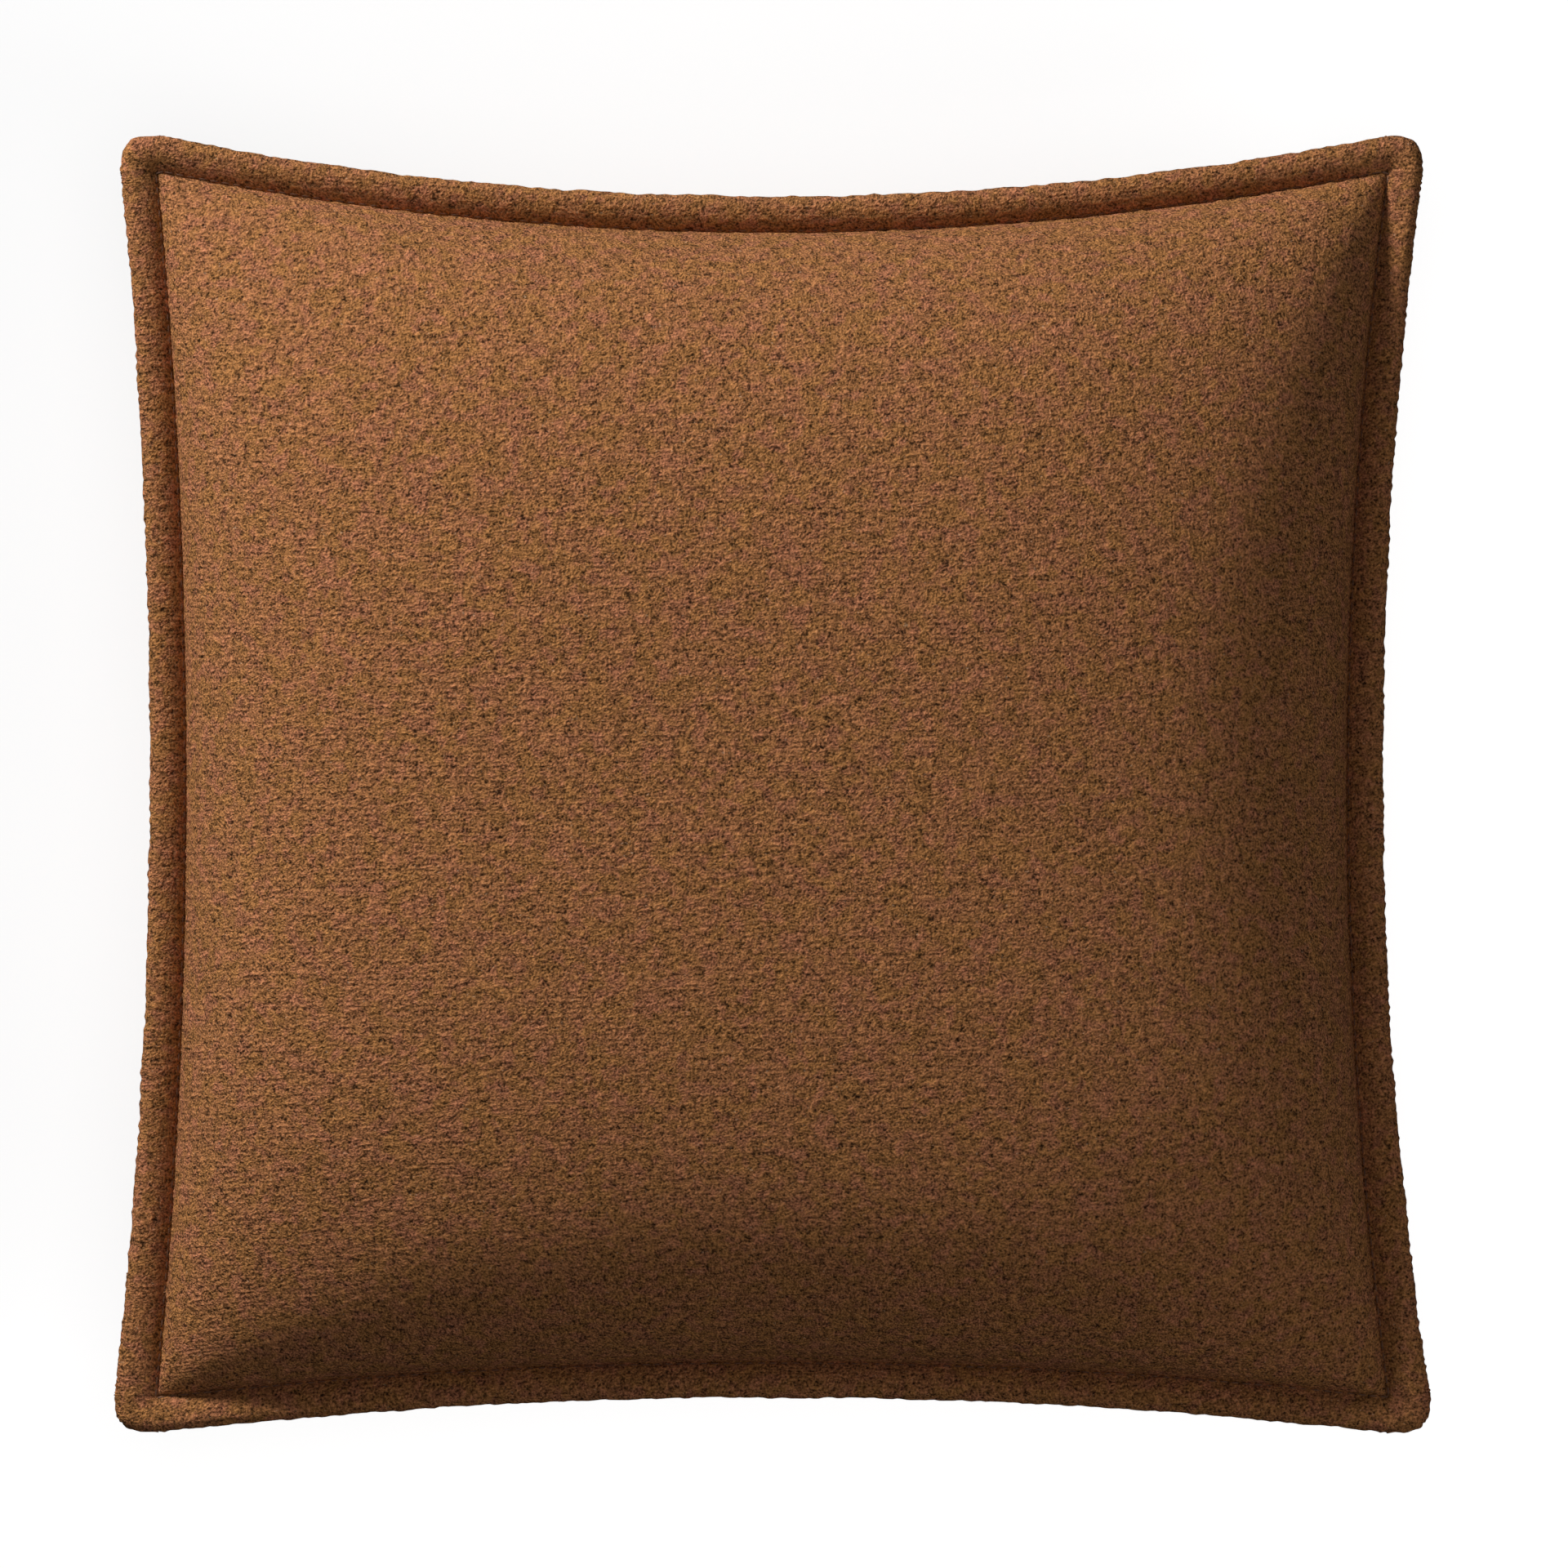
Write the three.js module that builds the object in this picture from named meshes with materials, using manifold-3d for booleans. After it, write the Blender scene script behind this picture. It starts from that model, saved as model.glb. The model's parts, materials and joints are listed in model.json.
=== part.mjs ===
// Square throw pillow: a zipped cover with a stitched flange, over a separate filled insert.
// Millimetres, +Z up. The pillow lies on its back, +Z leaves its front face, and +Y is its top edge.

import * as THREE from 'three';
import { mergeVertices } from 'three/addons/utils/BufferGeometryUtils.js';
import Module from 'manifold-3d';

const wasm = await Module();
wasm.setup();

// Cover
const coverWidth = 457; // across the bottom corners, flange included
const coverLength = 450; // from the bottom edge to the top edge, at the corners
const flangeWidth = 13;
const flangeThickness = 6.8; // at the middle of its width
const flangeEdgeThickness = 3.2;
const ditchThickness = 4.4; // where the flange stitching presses the layers together
const flangeSplay = 2.5; // how much further the flange reaches at the two bottom corners
const cornerRoundness = 3.2; // power of the curve that rounds a flange corner: higher is squarer
const coverThickness = 2;
const sag = { left: 10, right: 14, top: 21, bottom: 12 }; // how far each side is drawn in at its middle

// Filled shape
const seamHeight = 60; // from the resting face up to the middle of the flange
const frontCrown = 70; // from the middle of the flange up to the top of the front
const restPress = 12; // how far below the resting face the back would hang if nothing flattened it
const restSoftness = 4; // how gently the flattened patch turns into the free back
const fullness = 2.6; // power of the crown curve: higher is boxier
const edgeRise = 0.47; // power of its rise from the seam: lower is steeper

// Insert
const insertLooseness = 4.5; // between the cover's inner face and the insert
const insertThickness = 0.8;
const fillClearance = 0.5;

// Sewing
const threadRadius = 0.4;
const touchGap = 0.3; // left between solids that touch on the real pillow

// Zip
const zipOpening = 300;
const stripBeyondTape = 13; // cloth between the zip's tape and the bottom seam, at its middle
const zipEndRamp = 12; // length over which the fabric folds close beyond each end
const foldClearance = 1; // between the slider and each folded edge beside the zip
const tapeWidth = 13;
const tapeThickness = 0.6;
const tapeOverrun = 10; // tape beyond each end of the opening
const tapeClearance = 0.4; // between the tape and the fabric over it
const rowGap = 0.8; // between the two rows of the chain
const rowWidth = 1.9;
const rowHeight = 1.7;
const stopLength = 3;
const stopHeight = 2;
const sliderLength = 8.4;
const railThickness = 0.75;
const sliderPlate = 0.9;
const sliderClearance = 0.35; // between the slider and the chain or tape
const dividerClearance = 0.22; // between the slider's divider and each row
const dividerLength = 2.6;
const bridgeWidth = 1.4;
const bridgeWall = 0.8;
const bridgeReach = 4.6; // length of the bridge along the slider
const tabLength = 17;
const tabWidth = 4.6;
const tabThickness = 0.9;
const tabBar = 0.9; // the bar that turns inside the bridge
const tabPlayInBridge = 0.4;
const stitchInset = 3.6; // from a folded edge to the stitching that holds the zip
const stitchWidth = 0.6;
const tackLength = 2.4;
const tackWidth = 11;

// Labels, both left blank
const labelWidth = 26;
const labelThickness = 0.4;
const labelClearance = 1.4;
const labelReach = 0.1; // share of the half width that a label covers, from the seam inwards

const seamHalfWidth = coverWidth / 2 - flangeWidth - flangeSplay;
const seamHalfLength = coverLength / 2 - flangeWidth;
const backDepth = seamHeight + restPress;
const layerGap = 2 * (threadRadius + touchGap); // between the two layers that a seam joins
const zipFromSeam = tapeWidth + stripBeyondTape;
const sliderWidth = rowGap + 2 * (rowWidth + sliderClearance + railThickness);
const dividerThickness = rowGap - 2 * dividerClearance;
const foldGap = sliderWidth + 2 * foldClearance;
const insertInset = coverThickness + insertLooseness;
const fillInset = insertInset + insertThickness + fillClearance;

const finishes = {
  fabric: { color: 0x7d5639, roughness: 0.95, metalness: 0 },
  thread: { color: 0x6b4528, roughness: 0.8, metalness: 0 },
  tape: { color: 0x5d3d25, roughness: 0.85, metalness: 0 },
  chain: { color: 0x54381f, roughness: 0.45, metalness: 0 },
  metal: { color: 0x8a6a45, roughness: 0.35, metalness: 1 },
  lining: { color: 0xe9e5dc, roughness: 0.9, metalness: 0 },
  wadding: { color: 0xf4f2ee, roughness: 1, metalness: 0 },
  label: { color: 0xefece4, roughness: 0.7, metalness: 0 },
};

const pillow = new THREE.Group();

function add(name, finish, geometry, parent = pillow) {
  const mesh = new THREE.Mesh(geometry, new THREE.MeshStandardMaterial(finishes[finish]));
  mesh.name = name;
  parent.add(mesh);
  return mesh;
}

// ---- The filled shape. p and q run from -1 to 1 across and along the panel, seam to seam. ----

function plan(inset, p, q) {
  const sideSag = p < 0 ? sag.left : sag.right;
  const endSag = q < 0 ? sag.bottom : sag.top;
  const x = p * (seamHalfWidth - inset - sideSag * (1 - q * q));
  const y = q * (seamHalfLength - inset - endSag * (1 - p * p));
  return { x, y };
}

function crown(p, q) {
  const across = 1 - Math.abs(p) ** fullness;
  const along = 1 - Math.abs(q) ** fullness;
  return Math.max(0, across * along) ** edgeRise;
}

function frontHeight(inset, rim, p, q) {
  return seamHeight + rim + (frontCrown - inset - rim) * crown(p, q);
}

// The back hangs freely near the seam and lies flat where it rests.
function backHeight(inset, rim, p, q) {
  const hanging = seamHeight - rim - (backDepth - inset - rim) * crown(p, q);
  const above = hanging - inset;
  if (above <= -restSoftness) {
    return inset;
  }
  if (above >= restSoftness) {
    return hanging;
  }
  return inset + (above + restSoftness) ** 2 / (4 * restSoftness);
}

function panelPoint(height, inset, rim, p, q) {
  const { x, y } = plan(inset, p, q);
  return new THREE.Vector3(x, y, height(inset, rim, p, q));
}

// ---- The zip's line: an arc across the back, seen straight from below. ----

const zipY = zipFromSeam - (seamHalfLength - sag.bottom);
const zipHalf = zipOpening / 2;
const ditchRim = ditchThickness / 2;

function backHeightAt(x, y) {
  let p = 0;
  let q = 0;
  for (let pass = 0; pass < 8; pass += 1) {
    const side = x < 0 ? sag.left : sag.right;
    const end = y < 0 ? sag.bottom : sag.top;
    p = x / (seamHalfWidth - side * (1 - q * q));
    q = y / (seamHalfLength - end * (1 - p * p));
  }
  return backHeight(0, ditchRim, p, q);
}

const halfWidthAtZip = seamHalfWidth - Math.max(sag.left, sag.right) * (1 - (zipY / seamHalfLength) ** 2);
const faceOut = tapeClearance + coverThickness; // the fabric's outer face, measured out from the tape
const zipSlope = (backHeightAt(0, zipY - 1) - backHeightAt(0, zipY + 1)) / 2;
const zipTilt = Math.atan(zipSlope); // the zip faces down, and this much towards the bottom edge
const zipRise = backHeightAt(zipHalf, zipY) - backHeightAt(0, zipY);
const faceRadius = (zipHalf ** 2 + zipRise ** 2) / (2 * zipRise);

// The arc's height over the free back, x out from the middle, if both started level there.
function arcOverBack(x) {
  const arcRise = faceRadius - Math.sqrt(faceRadius ** 2 - x ** 2);
  return arcRise - (backHeightAt(x, zipY) - backHeightAt(0, zipY));
}

// The arc is lowered by its greatest height over the back, so it never cuts into the filling.
const arcSteps = 10;
const arcStations = Array.from({ length: arcSteps }, (_, k) => (zipHalf * k) / arcSteps);
const arcDrop = Math.max(...arcStations.map(arcOverBack));
const zipRadius = faceRadius - faceOut * Math.cos(zipTilt);
const zipCentreY = zipY + faceOut * Math.sin(zipTilt);
const zipCentreZ = backHeightAt(0, zipY) - arcDrop + faceRadius;

// across is + towards the bottom edge, out leaves the pillow, and along is + towards +X.
function zipPoint(across, out, along) {
  const radius = zipRadius - across * Math.sin(zipTilt) + out * Math.cos(zipTilt);
  const angle = along / zipRadius;
  const y = zipCentreY - across * Math.cos(zipTilt) - out * Math.sin(zipTilt);
  return new THREE.Vector3(radius * Math.sin(angle), y, zipCentreZ - radius * Math.cos(angle));
}

function zipFaceHeight(x, y, out) {
  const across = (zipCentreY - y - out * Math.sin(zipTilt)) / Math.cos(zipTilt);
  const radius = zipRadius - across * Math.sin(zipTilt) + out * Math.cos(zipTilt);
  return zipCentreZ - Math.sqrt(radius ** 2 - x ** 2);
}

// ---- Closed bodies from surfaces and paths ----

function bodyFrom(points, faces) {
  const geometry = new THREE.BufferGeometry();
  const places = points.flatMap((point) => point.toArray());
  geometry.setAttribute('position', new THREE.Float32BufferAttribute(places, 3));
  geometry.setIndex(faces.flat());
  return geometry;
}

// The body between an upper and a lower surface, on one grid of columns (+X) and rows (+Y).
function slab(columns, rows, upper, lower) {
  const sheet = (surface) => rows.flatMap((row) => columns.map((column) => surface(column, row)));
  const points = [...sheet(upper), ...sheet(lower)];
  const wide = columns.length;
  const below = wide * rows.length;
  const at = (i, j) => j * wide + i;
  const faces = [];
  for (let j = 0; j < rows.length - 1; j += 1) {
    for (let i = 0; i < wide - 1; i += 1) {
      const [a, b, c, d] = [at(i, j), at(i + 1, j), at(i + 1, j + 1), at(i, j + 1)];
      faces.push([a, b, c], [a, c, d]);
      faces.push([below + a, below + c, below + b], [below + a, below + d, below + c]);
    }
  }
  const [lastColumn, lastRow] = [wide - 1, rows.length - 1];
  const rim = [
    ...Array.from({ length: lastColumn }, (_, i) => at(i, 0)),
    ...Array.from({ length: lastRow }, (_, j) => at(lastColumn, j)),
    ...Array.from({ length: lastColumn }, (_, i) => at(lastColumn - i, lastRow)),
    ...Array.from({ length: lastRow }, (_, j) => at(0, lastRow - j)),
  ];
  // Both directions split a side face along the same diagonal, so two facing sides stay parallel.
  rim.forEach((a, k) => {
    const b = rim[(k + 1) % rim.length];
    if (a < b) {
      faces.push([a, below + a, below + b], [a, below + b, b]);
    } else {
      faces.push([a, below + a, b], [below + a, below + b, b]);
    }
  });
  return bodyFrom(points, faces);
}

// A round thread through the points: closed into a ring, or with a flat cap at each end.
function thread(path, radius, closed) {
  const sides = 5;
  const count = path.length;
  const points = [];
  path.forEach((centre, k) => {
    const before = path[closed ? (k + count - 1) % count : Math.max(k - 1, 0)];
    const after = path[closed ? (k + 1) % count : Math.min(k + 1, count - 1)];
    const ahead = after.clone().sub(before).normalize();
    const sideways = new THREE.Vector3(0, 0, 1).cross(ahead).normalize();
    const upwards = ahead.clone().cross(sideways);
    for (let s = 0; s < sides; s += 1) {
      const turn = (2 * Math.PI * s) / sides;
      const reach = sideways.clone().multiplyScalar(radius * Math.cos(turn));
      points.push(centre.clone().add(reach).addScaledVector(upwards, radius * Math.sin(turn)));
    }
  });
  const faces = [];
  for (let k = 0; k < (closed ? count : count - 1); k += 1) {
    for (let s = 0; s < sides; s += 1) {
      const [a, b] = [k * sides + s, k * sides + ((s + 1) % sides)];
      const [c, d] = [a, b].map((n) => (n + sides) % (count * sides));
      faces.push([a, b, d], [a, d, c]);
    }
  }
  if (!closed) {
    const last = (count - 1) * sides;
    for (let s = 1; s < sides - 1; s += 1) {
      faces.push([0, s + 1, s], [last, last + s, last + s + 1]);
    }
  }
  return bodyFrom(points, faces);
}

// Stations from seam to seam, closer together towards both seams.
function seamToSeam(count) {
  return Array.from({ length: count + 1 }, (_, k) => Math.sin((Math.PI / 2) * ((2 * k) / count - 1)));
}

// A ring of points round the panel, at an inset from the seam line (outside it when negative).
function ringPath(inset, height) {
  const perSide = 12;
  const steps = seamToSeam(perSide).slice(0, -1);
  const sides = [(t) => [t, -1], (t) => [1, t], (t) => [-t, 1], (t) => [-1, -t]];
  return sides.flatMap((side) => steps.map((t) => {
    const { x, y } = plan(inset, ...side(t));
    return new THREE.Vector3(x, y, height);
  }));
}

// A section drawn in the zip's across and out directions, run along it.
function alongZip(outline, start, end) {
  const stepLength = 15;
  const shape = new THREE.Shape(outline.map(([across, out]) => new THREE.Vector2(across, out)));
  const steps = Math.ceil((end - start) / stepLength);
  const geometry = new THREE.ExtrudeGeometry(shape, { depth: end - start, steps, bevelEnabled: false });
  const place = geometry.attributes.position;
  for (let k = 0; k < place.count; k += 1) {
    const point = zipPoint(place.getX(k), place.getY(k), start + place.getZ(k));
    place.setXYZ(k, point.x, point.y, point.z);
  }
  return geometry;
}

function box(acrossRange, outRange) {
  const [[low, high], [under, over]] = [acrossRange, outRange];
  return [[low, under], [high, under], [high, over], [low, over]];
}

// ---- Cover panels: each is one layer of cloth, its flange included ----

// Stations on the panel, then the flange as the share of its width beyond the seam.
function withFlange(stations) {
  const shares = [0.5, 1];
  const inside = stations.map((at) => ({ at, beyond: 0 }));
  const low = shares.toReversed().map((beyond) => ({ at: -1, beyond }));
  const high = shares.map((beyond) => ({ at: 1, beyond }));
  return { low, inside, high, all: [...low, ...inside, ...high] };
}

function flangePlan(column, row) {
  const { x, y } = plan(0, column.at, row.at);
  const reach = Math.max(column.beyond, row.beyond);
  const round = (column.beyond ** cornerRoundness + row.beyond ** cornerRoundness) ** (1 / cornerRoundness);
  const scale = reach / round;
  const splay = flangeSplay * ((1 - row.at) / 2) ** 4;
  return {
    x: x + column.at * column.beyond * scale * (flangeWidth + splay),
    y: y + row.at * row.beyond * scale * flangeWidth,
    reach,
  };
}

function flangeHalfThickness(reach) {
  const edge = reach < 0.5 ? ditchThickness : flangeEdgeThickness;
  return THREE.MathUtils.lerp(flangeThickness, edge, Math.abs(2 * reach - 1)) / 2;
}

// A layer's point on the panel or, beyond the seam, on the flange. upwards is 1 in front, -1 behind.
function coverPoint(panelSurface, upwards, isOuter, column, row) {
  if (column.beyond === 0 && row.beyond === 0) {
    return panelSurface(isOuter, column.at, row.at);
  }
  const { x, y, reach } = flangePlan(column, row);
  const half = isOuter ? flangeHalfThickness(reach) : layerGap / 2;
  return new THREE.Vector3(x, y, seamHeight + upwards * half);
}

function frontSurface(isOuter, p, q) {
  if (isOuter) {
    return panelPoint(frontHeight, 0, ditchRim, p, q);
  }
  return panelPoint(frontHeight, coverThickness, layerGap / 2, p, q);
}

const panelStations = seamToSeam(14);

function frontPanel() {
  const stations = withFlange(panelStations).all;
  const surface = (isOuter) => (column, row) => coverPoint(frontSurface, 1, isOuter, column, row);
  return slab(stations, stations, surface(true), surface(false));
}

// Half the gap between the two back panels: open beside the zip, and closed past its ends.
function halfFoldGap(x) {
  const closing = THREE.MathUtils.clamp((Math.abs(x) - zipHalf) / zipEndRamp, 0, 1);
  return THREE.MathUtils.lerp(foldGap / 2, touchGap, closing);
}

// Where the zip's face starts and stops turning into the free back: below it, above it, past its ends.
const stripTurn = [tapeWidth, 0.95 * zipFromSeam];
const panelTurn = [tapeWidth + 3, 3.5 * tapeWidth];
const endTurn = [zipHalf + zipEndRamp, THREE.MathUtils.lerp(zipHalf + zipEndRamp, halfWidthAtZip, 0.8)];

function backSurface(isOuter, p, q) {
  const inset = isOuter ? 0 : coverThickness;
  const rim = isOuter ? ditchRim : layerGap / 2;
  const point = panelPoint(backHeight, inset, rim, p, q);
  const [near, far] = point.y < zipY ? stripTurn : panelTurn;
  const beside = 1 - THREE.MathUtils.smoothstep(Math.abs(point.y - zipY), near, far);
  const between = 1 - THREE.MathUtils.smoothstep(Math.abs(point.x), ...endTurn);
  const zipFace = Math.max(inset, zipFaceHeight(point.x, point.y, isOuter ? faceOut : tapeClearance));
  point.z = THREE.MathUtils.lerp(point.z, zipFace, beside * between);
  return point;
}

// A row that starts on the fold beside the zip and ends on the seam, at a share of the way between.
function backRowPoint(isOuter, towards, column, share) {
  const inset = isOuter ? 0 : coverThickness;
  const out = isOuter ? faceOut : tapeClearance;
  const foldX = plan(inset, column, zipY / seamHalfLength).x;
  const across = -towards * halfFoldGap(foldX);
  const foldY = zipCentreY - across * Math.cos(zipTilt) - out * Math.sin(zipTilt);
  const foldAt = foldY / (seamHalfLength - inset - sag.bottom * (1 - column ** 2));
  return backSurface(isOuter, column, THREE.MathUtils.lerp(foldAt, towards, share));
}

const sideSteps = 4; // between each end of the zip and the seam

function backColumns() {
  const zipEnd = zipHalf / halfWidthAtZip;
  const rampEnd = (zipHalf + zipEndRamp) / halfWidthAtZip;
  const middleSteps = 10;
  const middle = Array.from({ length: middleSteps + 1 }, (_, k) => zipEnd * ((2 * k) / middleSteps - 1));
  const closer = (k) => 1 - (1 - rampEnd) * (1 - k / sideSteps) ** 2;
  const right = Array.from({ length: sideSteps + 1 }, (_, k) => closer(k));
  const left = right.toReversed().map((at) => -at);
  return withFlange([...left, ...middle, ...right]);
}

// towards is 1 for the large upper panel and -1 for the strip below the zip.
function backPanel(towards, shares) {
  const columns = backColumns().all;
  const flange = withFlange([]);
  const panelRows = shares.map((share) => ({ at: towards, beyond: 0, share }));
  const rows = towards > 0 ? [...panelRows, ...flange.high] : [...flange.low, ...panelRows.toReversed()];
  const surface = (isOuter) => (column, row) => {
    if (row.beyond > 0) {
      return coverPoint(backSurface, -1, isOuter, column, row);
    }
    const edge = backRowPoint(isOuter, towards, column.at, row.share);
    if (column.beyond === 0) {
      return edge;
    }
    const along = edge.y / (seamHalfLength - (isOuter ? 0 : coverThickness));
    const onFlange = coverPoint(backSurface, -1, isOuter, column, { at: along, beyond: 0 });
    onFlange.y = edge.y;
    return onFlange;
  };
  return slab(columns, rows, surface(false), surface(true));
}

add('cover_front_panel', 'fabric', frontPanel());
// Rows from the fold beside the zip to the seam, closer together where the cloth bends more.
const pastTape = (panelTurn[0] - foldGap / 2) / (seamHalfLength - zipY);
const upperRows = [0, pastTape, 0.08, 0.17, 0.29, 0.43, 0.57, 0.71, 0.83, 0.92, 0.98, 1];
const lowerRows = [0, 0.35, 0.7, 1];
add('cover_back_upper_panel', 'fabric', backPanel(1, upperRows));
add('cover_back_lower_panel', 'fabric', backPanel(-1, lowerRows));

// ---- Threads that hold the cover together ----

const ditchOffset = 1.3; // the flange stitching lies this far outside the foot of the crown
const ditchThreadLift = ditchRim + threadRadius + 2 * touchGap;
const edgeSeamOffset = 0.78 * flangeWidth;

function ringThread(inset, height) {
  return thread(ringPath(inset, height), threadRadius, true);
}

add('flange_needle_thread', 'thread', ringThread(-ditchOffset, seamHeight + ditchThreadLift));
add('flange_bobbin_thread', 'thread', ringThread(-ditchOffset, seamHeight - ditchThreadLift));
add('edge_seam_thread', 'thread', ringThread(-edgeSeamOffset, seamHeight));

// The seam that closes the back from each end of the zip to the side, under the cloth.
function backJoinThread(side) {
  const beyondZip = backColumns().inside.slice(-sideSteps - 1, -1).map((column) => side * column.at);
  const lift = (threadRadius + 3 * touchGap) / Math.cos(zipTilt);
  const path = beyondZip.map((p) => {
    const q = zipY / (seamHalfLength - coverThickness - sag.bottom * (1 - p * p));
    return backSurface(false, p, q).add(new THREE.Vector3(0, 0, lift));
  });
  return thread(path, threadRadius, false);
}

add('back_join_thread_left', 'thread', backJoinThread(-1));
add('back_join_thread_right', 'thread', backJoinThread(1));

// ---- Zip: two tapes, two rows, stops, tacks and stitching ----

const rowUnder = touchGap;
const rowOver = rowUnder + rowHeight;
const chainEnd = zipHalf - stopLength - 2 * touchGap;
const stitchUnder = faceOut + touchGap;
const stitchOver = stitchUnder + stitchWidth;

const rowsOfZip = { upper: -1, lower: 1 };
for (const [row, side] of Object.entries(rowsOfZip)) {
  const flipped = (outline) => outline.map(([across, out]) => [-across, out]).toReversed();
  const mirrored = (outline) => (side > 0 ? outline : flipped(outline));
  const inner = rowGap / 2;
  const outer = inner + rowWidth;
  const tape = box([inner, inner + tapeWidth], [-tapeThickness, 0]);
  const shoulder = 0.3 * rowHeight;
  const teeth = [
    [inner, rowUnder], [outer, rowUnder], [outer, rowOver - shoulder],
    [outer - shoulder, rowOver], [inner + shoulder, rowOver], [inner, rowOver - shoulder],
  ];
  const stitchAt = foldGap / 2 + stitchInset;
  const stitch = box([stitchAt, stitchAt + stitchWidth], [stitchUnder, stitchOver]);
  const stop = box([inner, outer], [rowUnder, rowUnder + stopHeight]);
  add(`zip_tape_${row}`, 'tape', alongZip(mirrored(tape), -zipHalf - tapeOverrun, zipHalf + tapeOverrun));
  add(`zip_coil_${row}`, 'chain', alongZip(mirrored(teeth), -chainEnd, chainEnd));
  add(`zip_stitch_${row}`, 'thread', alongZip(mirrored(stitch), -zipHalf, zipHalf));
  add(`zip_top_stop_${row}`, 'metal', alongZip(mirrored(stop), zipHalf - stopLength, zipHalf));
}

const bottomStopHalf = rowGap / 2 + rowWidth;
const bottomStop = box([-bottomStopHalf, bottomStopHalf], [rowUnder, rowUnder + stopHeight]);
add('zip_bottom_stop', 'metal', alongZip(bottomStop, -zipHalf, -zipHalf + stopLength));

const tack = box([-tackWidth / 2, tackWidth / 2], [stitchUnder, stitchOver]);
add('bar_tack_left', 'thread', alongZip(tack, -zipHalf - 2 * tackLength, -zipHalf - tackLength));
add('bar_tack_right', 'thread', alongZip(tack, zipHalf + tackLength, zipHalf + 2 * tackLength));

// ---- Slider and pull tab, drawn in their own frame: X along the zip, Y across it, Z out ----

function solidFrom(geometry) {
  const bare = geometry.clone();
  bare.deleteAttribute('normal');
  bare.deleteAttribute('uv');
  const merged = mergeVertices(bare, 1e-4);
  const vertProperties = new Float32Array(merged.attributes.position.array);
  const triVerts = new Uint32Array(merged.index.array);
  return new wasm.Manifold(new wasm.Mesh({ numProp: 3, vertProperties, triVerts }));
}

function joined(geometries) {
  const [first, ...rest] = geometries.map(solidFrom);
  const { vertProperties, triVerts } = rest.reduce((whole, piece) => whole.add(piece), first).getMesh();
  const geometry = new THREE.BufferGeometry();
  geometry.setAttribute('position', new THREE.BufferAttribute(vertProperties, 3));
  geometry.setIndex(new THREE.BufferAttribute(triVerts, 1));
  return geometry;
}

function block(xRange, yRange, zRange) {
  const ranges = [xRange, yRange, zRange];
  const size = ranges.map(([low, high]) => high - low);
  const middle = ranges.map(([low, high]) => (high + low) / 2);
  return new THREE.BoxGeometry(...size).translate(...middle);
}

// A plate with rounded corners, seen along Z.
function plate(length, width, radius, under, over) {
  const [x, y] = [length / 2, width / 2];
  const outline = new THREE.Shape();
  outline.absarc(x - radius, y - radius, radius, 0, Math.PI / 2);
  outline.absarc(-x + radius, y - radius, radius, Math.PI / 2, Math.PI);
  outline.absarc(-x + radius, -y + radius, radius, Math.PI, 1.5 * Math.PI);
  outline.absarc(x - radius, -y + radius, radius, 1.5 * Math.PI, 2 * Math.PI);
  const flat = { depth: over - under, bevelEnabled: false, curveSegments: 3 };
  return new THREE.ExtrudeGeometry(outline, flat).translate(0, 0, under);
}

const outerPlateUnder = rowOver + sliderClearance;
const outerPlateOver = outerPlateUnder + sliderPlate;
const innerPlateOver = -tapeThickness - sliderClearance;
const innerPlateUnder = innerPlateOver - sliderPlate;
const bridgeWindow = tabBar * Math.SQRT2 + tabPlayInBridge;
const bridgeOver = outerPlateOver + bridgeWindow + bridgeWall;
const pivotOut = outerPlateOver + bridgeWindow / 2;
const joinOverlap = 0.2; // how far the slider's pieces run into each other before they are joined

function bridge() {
  const [foot, chamfer] = [bridgeReach / 2, bridgeWall];
  const outline = new THREE.Shape([
    new THREE.Vector2(-foot, outerPlateOver - joinOverlap),
    new THREE.Vector2(foot, outerPlateOver - joinOverlap),
    new THREE.Vector2(foot, bridgeOver - chamfer),
    new THREE.Vector2(foot - chamfer, bridgeOver),
    new THREE.Vector2(-foot + chamfer, bridgeOver),
    new THREE.Vector2(-foot, bridgeOver - chamfer),
  ]);
  const inside = foot - bridgeWall;
  outline.holes.push(new THREE.Path([
    new THREE.Vector2(-inside, outerPlateOver),
    new THREE.Vector2(-inside, bridgeOver - bridgeWall),
    new THREE.Vector2(inside, bridgeOver - bridgeWall),
    new THREE.Vector2(inside, outerPlateOver),
  ]));
  const geometry = new THREE.ExtrudeGeometry(outline, { depth: bridgeWidth, bevelEnabled: false });
  return geometry.rotateX(Math.PI / 2).translate(0, bridgeWidth / 2, 0);
}

function sliderBody() {
  const halfLength = sliderLength / 2;
  const halfWidth = sliderWidth / 2;
  const railInside = rowGap / 2 + rowWidth + sliderClearance;
  const railUnder = sliderClearance;
  const plateRadius = 1.2;
  const railHalf = halfLength - plateRadius;
  const railOver = outerPlateUnder + joinOverlap;
  return joined([
    plate(sliderLength, sliderWidth, plateRadius, outerPlateUnder, outerPlateOver),
    plate(sliderLength, sliderWidth, plateRadius, innerPlateUnder, innerPlateOver),
    block([-railHalf, railHalf], [railInside, halfWidth], [railUnder, railOver]),
    block([-railHalf, railHalf], [-halfWidth, -railInside], [railUnder, railOver]),
    block(
      [halfLength - dividerLength, halfLength - joinOverlap],
      [-dividerThickness / 2, dividerThickness / 2],
      [innerPlateOver - joinOverlap, railOver],
    ),
    bridge(),
  ]);
}

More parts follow.
